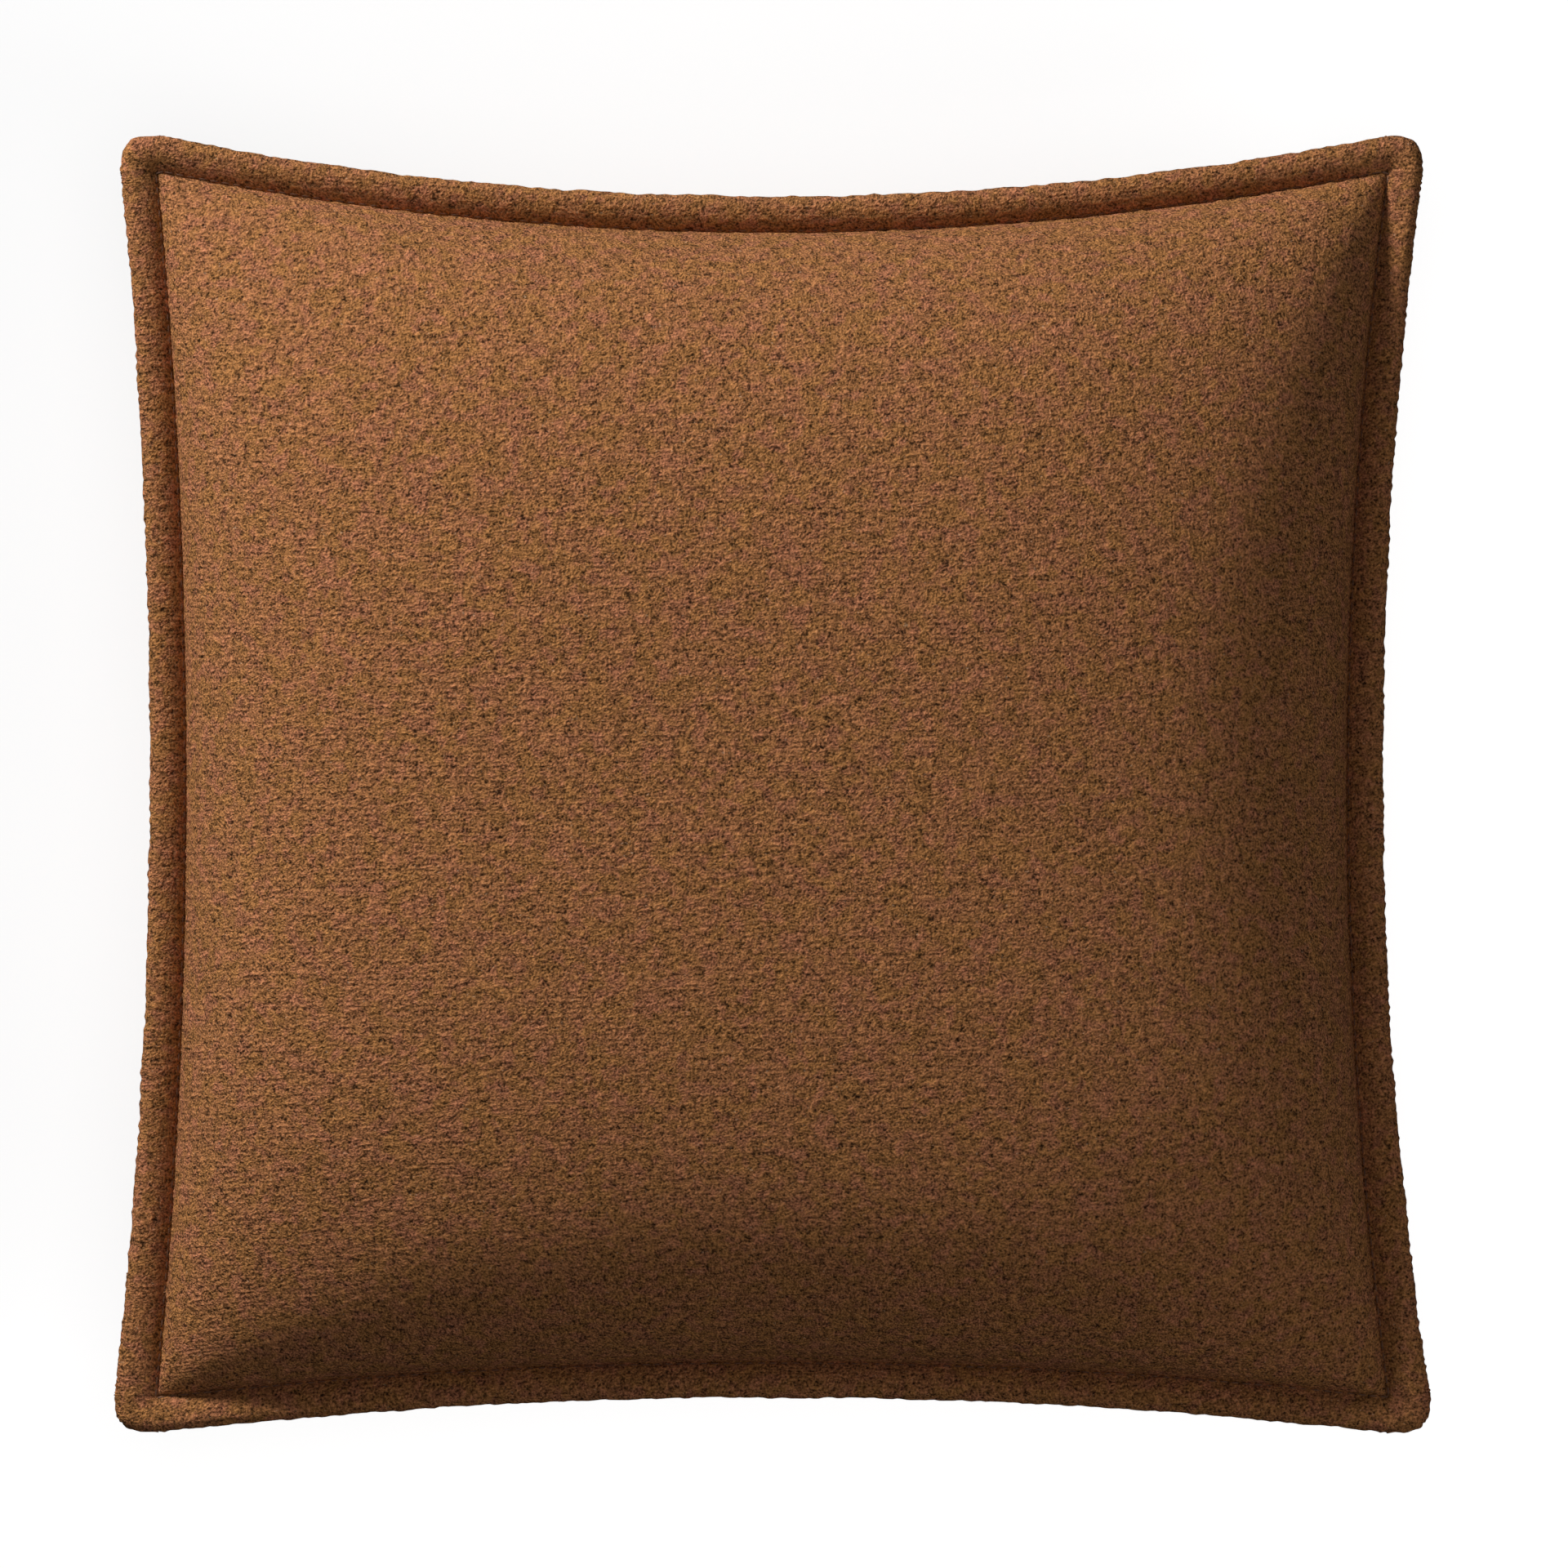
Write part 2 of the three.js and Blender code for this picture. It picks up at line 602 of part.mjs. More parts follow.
// The tab is one plate: a bar, two arms round the bridge, and a grip with a hole in it.
function pullTab() {
  const half = tabWidth / 2;
  const armInside = bridgeWidth / 2 + tabPlayInBridge;
  const windowEnd = Math.hypot(bridgeReach / 2, bridgeOver - pivotOut) + tabPlayInBridge;
  const gripHole = 1.1;
  const outline = new THREE.Shape();
  outline.moveTo(-half, -tabBar / 2);
  outline.lineTo(half, -tabBar / 2);
  outline.lineTo(half, tabLength - half);
  outline.absarc(0, tabLength - half, half, 0, Math.PI);
  outline.lineTo(-half, -tabBar / 2);
  outline.holes.push(new THREE.Path([
    new THREE.Vector2(-armInside, tabBar / 2),
    new THREE.Vector2(-armInside, windowEnd),
    new THREE.Vector2(armInside, windowEnd),
    new THREE.Vector2(armInside, tabBar / 2),
  ]));
  const hole = new THREE.Path();
  hole.absarc(0, tabLength - half, gripHole, 0, 2 * Math.PI, true);
  outline.holes.push(hole);
  const flat = { depth: tabThickness, bevelEnabled: false, curveSegments: 8 };
  // Width along Y, length along Z, thickness along X.
  const toFrame = new THREE.Matrix4().makeBasis(
    new THREE.Vector3(0, 1, 0),
    new THREE.Vector3(0, 0, 1),
    new THREE.Vector3(1, 0, 0),
  );
  return new THREE.ExtrudeGeometry(outline, flat).translate(0, 0, -tabThickness / 2).applyMatrix4(toFrame);
}

const closedAt = zipHalf - stopLength - touchGap - sliderLength / 2;
const closedAngle = closedAt / zipRadius;
const hangAngle = -Math.atan(Math.tan(closedAngle) / Math.cos(zipTilt)); // straight down from its bar

const zipCentre = new THREE.Group();
zipCentre.name = 'zip_centre';
zipCentre.position.set(0, zipCentreY, zipCentreZ);
zipCentre.rotation.y = -closedAngle;
pillow.add(zipCentre);

const sliderFrame = new THREE.Group();
sliderFrame.position.z = -zipRadius;
sliderFrame.rotation.x = Math.PI - zipTilt;
zipCentre.add(sliderFrame);
add('zip_slider_body', 'metal', sliderBody(), sliderFrame);

const tabPivot = new THREE.Group();
tabPivot.name = 'tab_pivot';
tabPivot.position.z = pivotOut;
tabPivot.rotation.y = hangAngle;
sliderFrame.add(tabPivot);
add('zip_pull_tab', 'metal', pullTab(), tabPivot);

// ---- Insert: two shells of lining cloth, their thread, and the filling ----

const insertRim = layerGap / 2;

function shell(height, outerInset, thickness) {
  const outer = (p, q) => panelPoint(height, outerInset, insertRim, p, q);
  const inner = (p, q) => panelPoint(height, outerInset + thickness, insertRim, p, q);
  const faces = height === frontHeight ? [outer, inner] : [inner, outer];
  return slab(panelStations, panelStations, ...faces);
}

function filling() {
  const upper = (p, q) => panelPoint(frontHeight, fillInset, insertRim, p, q);
  const lower = (p, q) => panelPoint(backHeight, fillInset, insertRim, p, q);
  return slab(panelStations, panelStations, upper, lower);
}

function closingStitch() {
  const halfLength = 0.3; // share of the half width
  const steps = 6;
  const inset = insertInset - 2 * threadRadius - touchGap;
  const path = Array.from({ length: steps + 1 }, (_, k) => {
    const { x, y } = plan(inset, halfLength * ((2 * k) / steps - 1), -1);
    return new THREE.Vector3(x, y, seamHeight);
  });
  return thread(path, threadRadius, false);
}

add('insert_front_shell', 'lining', shell(frontHeight, insertInset, insertThickness));
add('insert_back_shell', 'lining', shell(backHeight, insertInset, insertThickness));
add('insert_fill', 'wadding', filling());
add('insert_seam_thread', 'thread', ringThread(insertInset + insertThickness / 2, seamHeight));
add('insert_closing_stitch', 'thread', closingStitch());

// ---- Blank labels, caught in a side seam and lying against the crown ----

function label(side, middle, inset) {
  const halfShare = labelWidth / 2 / seamHalfLength;
  const columns = panelStations.filter((p) => side * p > 1 - labelReach);
  const rows = [middle - halfShare, middle + halfShare];
  const outer = (p, q) => panelPoint(frontHeight, inset, insertRim, p, q);
  const inner = (p, q) => panelPoint(frontHeight, inset + labelThickness, insertRim, p, q);
  return slab(columns, rows, outer, inner);
}

add('cover_care_label', 'label', label(-1, -0.55, coverThickness + labelClearance));
add('insert_label', 'label', label(1, -0.55, insertInset - labelClearance - labelThickness));

export default pillow;
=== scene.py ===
import json
import math

import bmesh
import bpy
import numpy as np
from mathutils import Matrix, Vector, noise


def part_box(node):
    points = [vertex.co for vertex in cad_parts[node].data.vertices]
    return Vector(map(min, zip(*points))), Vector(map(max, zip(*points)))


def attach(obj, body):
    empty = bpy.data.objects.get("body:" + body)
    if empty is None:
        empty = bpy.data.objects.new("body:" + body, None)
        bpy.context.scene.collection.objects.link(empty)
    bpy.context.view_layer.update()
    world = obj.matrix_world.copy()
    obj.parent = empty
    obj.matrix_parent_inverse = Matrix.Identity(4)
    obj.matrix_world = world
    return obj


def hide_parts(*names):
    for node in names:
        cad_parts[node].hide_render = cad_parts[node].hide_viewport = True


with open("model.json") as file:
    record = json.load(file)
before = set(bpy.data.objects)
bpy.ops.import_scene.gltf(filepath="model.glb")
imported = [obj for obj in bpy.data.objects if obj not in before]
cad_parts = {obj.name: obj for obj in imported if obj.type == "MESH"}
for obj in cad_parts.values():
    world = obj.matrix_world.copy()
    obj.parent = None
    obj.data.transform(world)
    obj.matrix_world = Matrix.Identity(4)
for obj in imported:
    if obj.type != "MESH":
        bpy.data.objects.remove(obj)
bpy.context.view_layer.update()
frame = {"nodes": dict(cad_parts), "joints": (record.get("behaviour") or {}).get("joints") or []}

scene = bpy.context.scene
print("pillow: frame loaded")

# Metres. The pillow lies on its back with +Z out of its front face and +Y towards its top edge.

cover = {
    "flangeWidth": 0.013,
    "flangeSplay": 0.0025,  # extra reach of the flange at the two bottom corners
    "flangeRise": 0.0050,  # height of the flange's roll over the seam
    "rollPeak": 0.7,  # share of the flange's width at which it is highest
    "rollRamp": 2.1,  # higher rises sooner from the ditch
    "rollLength": 1.3,  # cloth over the roll, for each width of the flange
    "cornerRoundness": 3.2,
    "edgeTuck": 0.0007,  # how far the seam along the flange's rim is drawn in
    "edgeTuckShare": 0.03,  # share of the flange's width that is drawn in
    "ditchRise": 0.0007,  # the stitched ditch lies this far from the middle of the flange
    "sag": {"left": 0.010, "right": 0.014, "top": 0.021, "bottom": 0.012},
    "fullness": 2.6,  # higher is flatter in the middle
    "edgeRise": 0.45,  # lower is steeper beside the seam
    "restPress": 0.012,  # how far the back would hang below the surface it lies on
    "restSoftness": 0.004,
    "thickness": 0.002,
    "wander": 0.0004,  # how far the flange's rim strays from a smooth curve
    "wanderLength": 0.022,
    "panelColumns": 300,
    "panelRows": 440,
    "flangeSteps": 14,
}

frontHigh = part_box("cover_front_panel")[1]
seamLow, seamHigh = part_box("edge_seam_thread")
seamHeight = (seamLow[2] + seamHigh[2]) / 2
frontCrown = frontHigh[2] - seamHeight
backDepth = seamHeight + cover["restPress"]
seamHalfWidth = frontHigh[0] - cover["flangeWidth"] - cover["flangeSplay"]
seamHalfLength = frontHigh[1] - cover["flangeWidth"]
sag = cover["sag"]


# p and q run from -1 to 1 across and along the panel, seam to seam.
def planOf(p, q, inset=0.0):
    sideSag = np.where(p < 0, sag["left"], sag["right"])
    endSag = np.where(q < 0, sag["bottom"], sag["top"])
    x = p * (seamHalfWidth - inset - sideSag * (1 - q * q))
    y = q * (seamHalfLength - inset - endSag * (1 - p * p))
    return x, y


def crownOf(p, q):
    across = 1 - np.abs(p) ** cover["fullness"]
    along = 1 - np.abs(q) ** cover["fullness"]
    return np.maximum(0, across * along) ** cover["edgeRise"]


def frontHeight(p, q, inset=0.0):
    rim = cover["ditchRise"]
    return seamHeight + rim + (frontCrown - inset - rim) * crownOf(p, q)


# The back hangs freely near the seam and lies flat where it rests.
def backHeight(p, q, inset=0.0):
    rim = cover["ditchRise"]
    hanging = seamHeight - rim - (backDepth - inset - rim) * crownOf(p, q) - inset
    soft = cover["restSoftness"]
    turning = (np.clip(hanging, -soft, soft) + soft) ** 2 / (4 * soft)
    return inset + np.where(hanging > soft, hanging, turning)


# The length of cloth from the middle to a seam, so that a grid has even steps over the steep edge too.
profileSteps = 2000
profileAt = np.sin(np.linspace(0, math.pi / 2, profileSteps))
profileHeight = frontHeight(profileAt, np.zeros(profileSteps))
profilePaces = np.hypot(np.diff(profileAt * seamHalfWidth), np.diff(profileHeight))
profileLength = np.concatenate(([0], np.cumsum(profilePaces)))
clothHalf = profileLength[-1]


def stationOf(share):
    return np.sign(share) * np.interp(np.abs(share) * clothHalf, profileLength, profileAt)


def shareOf(station):
    return np.sign(station) * np.interp(np.abs(station), profileAt, profileLength) / clothHalf


# Pieces start as a flat grid from -1 to 1 both ways, and arrays then put each vertex in its place.
def gridPiece(name, columns, rows):
    mesh = bpy.data.meshes.new(name)
    bm = bmesh.new()
    bmesh.ops.create_grid(bm, x_segments=columns, y_segments=rows, size=1)
    bm.to_mesh(mesh)
    bm.free()
    piece = bpy.data.objects.new(name, mesh)
    scene.collection.objects.link(piece)
    places = readVertices(mesh, "co")
    return piece, places[:, 0], places[:, 1]


def readVertices(mesh, what):
    values = np.empty(len(mesh.vertices) * 3, dtype=np.float32)
    mesh.vertices.foreach_get(what, values)
    return values.reshape(-1, 3).astype(np.float64)


def writeVertices(mesh, places):
    mesh.vertices.foreach_set("co", places.astype(np.float32).ravel())
    mesh.update()


def writeUv(mesh, u, v):
    layer = mesh.uv_layers.new(name="cloth")
    corners = np.empty(len(mesh.loops), dtype=np.int32)
    mesh.loops.foreach_get("vertex_index", corners)
    layer.data.foreach_set("uv", np.column_stack((u[corners], v[corners])).astype(np.float32).ravel())


# Each seed reads the noise at its own place.
def smoothNoise(points, size, seed):
    seedSpacing = 17.3
    shift = seedSpacing * seed
    return np.array([noise.noise((x / size + shift, y / size, z / size)) for x, y, z in points.tolist()])


zipSizes = {
    "opening": 0.300,
    "stripBeyondTape": 0.013,
    "endRamp": 0.012,  # the folds close over this length beyond each end
    "tapeWidth": 0.013,
    "tapeThickness": 0.0006,
    "tapeOverrun": 0.010,
    "tapeClearance": 0.0004,
    "tapeColumns": 160,
    "tapeRows": 10,
    "foldGap": 0.0088,
    "foldRadius": 0.001,
    "foldSteps": 6,
    "foldUnder": 0.003,  # how far the cloth goes on under itself past the fold
    "foldCloth": 0.006,  # length of cloth round the fold
    "levelBelow": 0.95,  # the cloth has left the zip's level at this share of the way to the seam
    "levelStart": 0.003,  # above the zip it starts to leave this level so far past the tape
    "levelAbove": 3.5,  # and has left it at this many widths of tape
    "levelBeside": 0.032,  # and beside the zip so far beyond the ends of the folds
    "rowGap": 0.0008,
    "rowWidth": 0.0019,
    "rowMiddle": 0.0011,  # height of the teeth's middle over the tape
    "toothPitch": 0.0013,
    "toothLength": 0.0005175,
    "toothHeight": 0.00081,
    "toothReach": 0.000176,  # how far a tooth reaches into the gap between the rows
    "stopLength": 0.003,
    "stopRounding": 0.0003,
    "sliderRounding": 0.00014,
    "tabRounding": 0.00016,
}

# The zip follows an arc across the back, and its face tilts towards the bottom edge.
joints = {joint["name"]: joint for joint in frame["joints"]}
zipCentreY, zipCentreZ = joints["zip_slide"]["pos_m"][1:]
zipTilt = math.acos(abs(joints["tab_swing"]["axis"][1]))
tiltSin, tiltCos = math.sin(zipTilt), math.cos(zipTilt)
tapeFar = zipSizes["rowGap"] / 2 + zipSizes["tapeWidth"]
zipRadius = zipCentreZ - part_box("zip_tape_upper")[0][2] - tapeFar * tiltSin
zipHalf = zipSizes["opening"] / 2
zipFromSeam = zipSizes["tapeWidth"] + zipSizes["stripBeyondTape"]
zipY = zipFromSeam - (seamHalfLength - sag["bottom"])
faceOut = zipSizes["tapeClearance"] + cover["thickness"]
acrossAxis = np.array([0, -tiltCos, tiltSin])
outAxis = np.array([0, -tiltSin, -tiltCos])


# across is + towards the bottom edge, out leaves the pillow, and along is + towards +X.
def zipPlace(across, out, along):
    radius = zipRadius - across * tiltSin + out * tiltCos
    angle = along / zipRadius
    y = zipCentreY - across * tiltCos - out * tiltSin + 0 * angle
    return np.stack((radius * np.sin(angle), y, zipCentreZ - radius * np.cos(angle)), axis=-1)


def zipFaceHeight(x, y, out):
    across = (zipCentreY - y - out * tiltSin) / tiltCos
    radius = zipRadius - across * tiltSin + out * tiltCos
    return zipCentreZ - np.sqrt(radius**2 - x**2)


def smoothStep(value, low, high):
    t = np.clip((value - low) / (high - low), 0, 1)
    return t * t * (3 - 2 * t)


def halfFoldGap(x):
    closing = np.clip((np.abs(x) - zipHalf) / zipSizes["endRamp"], 0, 1)
    return (1 - closing) * zipSizes["foldGap"] / 2


# 1 where the back lies level with the zip's face, fading to 0 round it.
def zipShare(x, y):
    tape = zipSizes["tapeWidth"]
    below = 1 - smoothStep(zipY - y, tape, zipSizes["levelBelow"] * zipFromSeam)
    above = 1 - smoothStep(y - zipY, tape + zipSizes["levelStart"], zipSizes["levelAbove"] * tape)
    rampEnd = zipHalf + zipSizes["endRamp"]
    between = 1 - smoothStep(np.abs(x), rampEnd, rampEnd + zipSizes["levelBeside"])
    return np.where(y < zipY, below, above) * between


def frontPlace(p, q, inset=0.0):
    x, y = planOf(p, q, inset)
    return np.stack((x, y, frontHeight(p, q, inset)), axis=-1)


def backPlace(p, q, inset=0.0):
    x, y = planOf(p, q, inset)
    z = backHeight(p, q, inset)
    share = zipShare(x, y) if inset == 0 else 0
    return np.stack((x, y, z + share * (np.maximum(0, zipFaceHeight(x, y, faceOut)) - z)), axis=-1)


# Front and back grids joined round the seam into one closed body, which knows each vertex's cell.
def closedBody(name, cells, inset):
    bm = bmesh.new()
    for isBack, place in ((0, frontPlace), (1, backPlace)):
        side, across, along = gridPiece(name + str(isBack), cells, cells)
        places = place(stationOf(across), stationOf(along), inset)
        atSeam = np.maximum(np.abs(across), np.abs(along)) > 1 - 1e-6
        places[atSeam, 2] = seamHeight
        writeVertices(side.data, places)
        if isBack:
            side.data.flip_normals()
        cell = side.data.attributes.new("cell", "INT", "POINT")
        row, column = np.rint((along + 1) / 2 * cells), np.rint((across + 1) / 2 * cells)
        number = isBack * (cells + 1) ** 2 + row * (cells + 1) + column
        cell.data.foreach_set("value", number.astype(np.int32))
        bm.from_mesh(side.data)
        bpy.data.objects.remove(side)
    bmesh.ops.remove_doubles(bm, verts=bm.verts, dist=1e-5)
    body = bpy.data.objects.new(name, bpy.data.meshes.new(name))
    bm.to_mesh(body.data)
    bm.free()
    scene.collection.objects.link(body)
    number = np.empty(len(body.data.vertices), dtype=np.int32)
    body.data.attributes["cell"].data.foreach_get("value", number)
    return body, number


# The cloth is filled under pressure, held at the seam, at the zip and where it rests.
filling = {
    "cells": 84,
    "pressure": 4.0,
    "frames": 20,
    "shrink": -0.004,
    "cap": 0.0035,  # no point moves further than this
    "smoothing": 36,
    "restBand": 0.004,
}


def heldCells(number, start):
    cells = filling["cells"]
    isBack = number >= (cells + 1) ** 2
    column, row = number % (cells + 1), number % (cells + 1) ** 2 // (cells + 1)
    edge = np.minimum(np.minimum(column, cells - column), np.minimum(row, cells - row))
    resting = isBack & (start[:, 2] < filling["restBand"])
    besideZip = isBack & (zipShare(start[:, 0], start[:, 1]) > 0)
    return np.flatnonzero((edge == 0) | resting | besideZip).tolist()


def fillCloth(body, heldVertices):
    held = body.vertex_groups.new(name="held")
    held.add(heldVertices, 1.0, "REPLACE")
    cloth = body.modifiers.new("filled", "CLOTH")
    cloth.settings.quality = 5
    cloth.settings.mass = 0.3
    cloth.settings.vertex_group_mass = held.name
    cloth.settings.use_pressure = True
    cloth.settings.uniform_pressure_force = filling["pressure"]
    cloth.settings.shrink_min = filling["shrink"]
    cloth.settings.effector_weights.gravity = 0
    cloth.collision_settings.use_collision = False
    cloth.point_cache.frame_end = filling["frames"]
    for step in range(1, filling["frames"] + 1):
        scene.frame_set(step)
    filled = body.evaluated_get(bpy.context.evaluated_depsgraph_get())
    return readVertices(filled.data, "co")


# How far each cell of the front and back moves when the cloth is filled.
def swellingOf(cells):
    body, number = closedBody("filledCloth", cells, 0.0)
    start = readVertices(body.data, "co")
    move = fillCloth(body, heldCells(number, start)) - start
    bpy.data.objects.remove(body)
    scene.frame_set(1)
    length = np.linalg.norm(move, axis=1, keepdims=True)
    move *= filling["cap"] * np.tanh(length / filling["cap"]) / np.maximum(length, 1e-9)
    swelling = np.zeros((2 * (cells + 1) ** 2, 3))
    swelling[number] = move
    swelling = swelling.reshape(2, cells + 1, cells + 1, 3)
    for _ in range(filling["smoothing"]):
        inner = swelling[:, :-2, 1:-1] + swelling[:, 2:, 1:-1]
        inner = inner + swelling[:, 1:-1, :-2] + swelling[:, 1:-1, 2:]
        swelling[:, 1:-1, 1:-1] = swelling[:, 1:-1, 1:-1] / 2 + inner / 8
    return swelling


# Smooth reading of the swelling between its cells, at shares of the way from seam to seam.
def swellAt(isBack, p, q):
    cells = filling["cells"]
    i = np.clip((shareOf(p) + 1) / 2 * cells, 0, cells - 1e-6)
    j = np.clip((shareOf(q) + 1) / 2 * cells, 0, cells - 1e-6)
    i0, j0 = i.astype(int), j.astype(int)
    s, t = (i - i0)[:, None], (j - j0)[:, None]
    field = swelling[isBack]
    low = field[j0, i0] * (1 - s) + field[j0, i0 + 1] * s
    high = field[j0 + 1, i0] * (1 - s) + field[j0 + 1, i0 + 1] * s
    return low * (1 - t) + high * t


swelling = swellingOf(filling["cells"])
print("pillow: cloth filled")


# Shares along a grid's side: the panel in the middle, and the flange as 0 to 1 beyond it.
def splitFlange(along, panelShare):
    station = stationOf(np.clip(along / panelShare, -1, 1))
    turn = np.clip((np.abs(along) - panelShare) / (1 - panelShare), 0, 1)
    return station, (1 - np.cos(math.pi * turn)) / 2


# Reach is 0 in the ditch and 1 at the rim.
def flangeRise(reach):
    peak = cover["rollPeak"]
    inner = 1 - (1 - np.clip(reach / peak, 0, 1)) ** cover["rollRamp"]
    outer = np.sqrt(np.clip(1 - ((reach - peak) / (1 - peak)) ** 2, 0, 1))
    return cover["ditchRise"] * (1 - reach) + cover["flangeRise"] * np.where(reach < peak, inner, outer)


# Moves the places that lie beyond the seam out onto the flange, on its upper or its lower face.
def addFlange(places, p, q, beyondX, beyondY, upwards):
    power = cover["cornerRoundness"]
    reach = np.maximum(beyondX, beyondY)
    outreach = (beyondX**power + beyondY**power) ** (1 / power)
    scale = reach / np.maximum(outreach, 1e-9)
    splay = cover["flangeSplay"] * ((1 - q) / 2) ** 4
    atRim = np.clip(1 - (1 - reach) / cover["edgeTuckShare"], 0, 1)
    x, y = planOf(p, q)
    rim = np.stack((x, y, np.zeros_like(x)), axis=-1)
    stray = cover["wander"] * smoothNoise(rim, cover["wanderLength"], 1) * reach
    stray -= cover["edgeTuck"] * atRim**2
    onFlange = reach > 0
    x += np.sign(p) * scale * beyondX * (cover["flangeWidth"] + splay + stray)
    y += np.sign(q) * scale * beyondY * (cover["flangeWidth"] + stray)
    z = seamHeight + upwards * flangeRise(reach)
    places[onFlange] = np.stack((x, y, z), axis=-1)[onFlange]
    return places


# The knit stands up in broken rows and nubs, more so where the cloth curls over an edge.
knit = {
    "rowPitch": 0.00385,
    "rowShare": 0.35,
    "rowShift": 0.35,  # how far the rows wander, in rows
    "patchSize": 0.016,
    "stretch": 0.45,  # lower draws the pattern out along the rows
    "stitchSize": 0.002025,
    "stitchShare": 0.9,
    "nubSize": 0.0031,
    "nubShare": 0.8,
    "face": 0.00007,  # height of the relief where the cloth faces up or down
    "edge": 0.0005,  # and where it is upright
}


def raiseKnit(mesh, u, v):
    places = readVertices(mesh, "co")
    normals = readVertices(mesh, "normal")
    flat = np.stack((u * knit["stretch"], v, np.zeros_like(u)), axis=-1)
    warp = smoothNoise(flat, knit["patchSize"], 2)
    rows = np.cos(2 * math.pi * (v / knit["rowPitch"] + knit["rowShift"] * warp))
    broken = smoothNoise(flat, knit["stitchSize"], 3)
    nubs = smoothNoise(places, knit["nubSize"], 4)
    height = knit["rowShare"] * rows * (0.6 + 0.5 * warp)
    height += knit["stitchShare"] * broken + knit["nubShare"] * nubs
    standing = np.clip(1 - normals[:, 2] ** 2, 0, 1)[:, None] ** 2
    strength = knit["face"] + (knit["edge"] - knit["face"]) * standing
    writeVertices(mesh, places + normals * strength * height[:, None])


def finishCloth(piece, u, v):
    writeUv(piece.data, u, v)
    raiseKnit(piece.data, u, v)
    piece.data.shade_smooth()
    piece.data.materials.append(coverFabric)
    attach(piece, "pillow")


def frontCover():
    steps = cover["flangeSteps"]
    columns, rows = cover["panelColumns"] + 2 * steps, cover["panelRows"] + 2 * steps
    piece, across, along = gridPiece("coverFront", columns, rows)
    p, beyondX = splitFlange(across, cover["panelColumns"] / columns)
    q, beyondY = splitFlange(along, cover["panelRows"] / rows)
    places = frontPlace(p, q) + swellAt(0, p, q)
    writeVertices(piece.data, addFlange(places, p, q, beyondX, beyondY, 1))
    flangeCloth = cover["rollLength"] * cover["flangeWidth"]
    u = clothHalf * shareOf(p) + np.sign(p) * beyondX * flangeCloth
    v = clothHalf * shareOf(q) + np.sign(q) * beyondY * flangeCloth
    finishCloth(piece, u, v)
    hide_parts("cover_front_panel")


# towards is 1 for the large upper panel and -1 for the strip below the zip. Rows run from the fold
# beside the zip, over the panel and out to the flange's rim.
def backCover(name, towards, panelRows, node):
    steps = cover["flangeSteps"]
    tuckSteps = zipSizes["foldSteps"]
    columns, rows = cover["panelColumns"] + 2 * steps, tuckSteps + panelRows + steps
    piece, across, along = gridPiece(name, columns, rows)
    p, beyondX = splitFlange(across, cover["panelColumns"] / columns)
    row = (along + 1) / 2 * rows
    tuck = np.clip(1 - row / tuckSteps, 0, 1)
    share = np.clip((row - tuckSteps) / panelRows, 0, 1)
    share = np.sin(math.pi / 2 * share) if towards > 0 else share
    turn = np.clip((row - tuckSteps - panelRows) / steps, 0, 1)
    beyondY = (1 - np.cos(math.pi * turn)) / 2
    radius = zipSizes["foldRadius"]
    foldX = planOf(p, zipY / seamHalfLength)[0]
    foldAcross = -towards * (halfFoldGap(foldX) + radius)
    foldY = zipCentreY - foldAcross * tiltCos - faceOut * tiltSin
    foldAt = foldY / (seamHalfLength - sag["bottom"] * (1 - p**2))
    q = foldAt + (towards - foldAt) * share
    onZip = zipShare(*planOf(p, q))
    places = backPlace(p, q) + swellAt(1, p, q) * (1 - onZip[:, None])
    flangeQ = np.where(beyondY > 0, q, places[:, 1] / seamHalfLength)
    places = addFlange(places, p, flangeQ, beyondX, beyondY, -1)
    curl = math.pi * np.minimum(1, tuck * 1.5)[:, None]
    under = zipSizes["foldUnder"] * np.maximum(0, tuck * 3 - 2)[:, None]
    places += towards * (radius * np.sin(curl) - under) * acrossAxis
    places -= radius * (1 - np.cos(curl)) * outAxis
    writeVertices(piece.data, places)
    if towards > 0:
        piece.data.flip_normals()
    flangeCloth = cover["rollLength"] * cover["flangeWidth"]
    u = clothHalf * shareOf(p) + np.sign(p) * beyondX * flangeCloth
    v = clothHalf * shareOf(q) + towards * (beyondY * flangeCloth - zipSizes["foldCloth"] * tuck)
    finishCloth(piece, u, v)
    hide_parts(node)


def newMaterial(name, roughness, metallic=0.0):
    material = bpy.data.materials.new(name)
    material.use_nodes = True
    shader = material.node_tree.nodes["Principled BSDF"]
    shader.inputs["Roughness"].default_value = roughness
    shader.inputs["Metallic"].default_value = metallic
    return material, material.node_tree, shader


# Inputs are sockets or plain values, by name or number. Anything else is set on the node itself.
def addNode(tree, kind, inputs, **settings):
    node = tree.nodes.new("ShaderNode" + kind)
    for setting, value in settings.items():
        setattr(node, setting, value)
    for socket, value in inputs.items():
        if isinstance(value, bpy.types.NodeSocket):
            tree.links.new(value, node.inputs[socket])
        else:
            node.inputs[socket].default_value = value
    return node


def noiseOf(tree, vector, scale, detail=2.0):
    return addNode(tree, "TexNoise", {"Vector": vector, "Scale": scale, "Detail": detail}).outputs["Fac"]


def sumOf(tree, first, second, factor):
    return addNode(tree, "Math", {0: second, 1: factor, 2: first}, operation="MULTIPLY_ADD").outputs[0]


def spread(tree, value, low, high, toLow, toHigh):
    inputs = {"Value": value, "From Min": low, "From Max": high, "To Min": toLow, "To Max": toHigh}
    return addNode(tree, "MapRange", inputs).outputs["Result"]


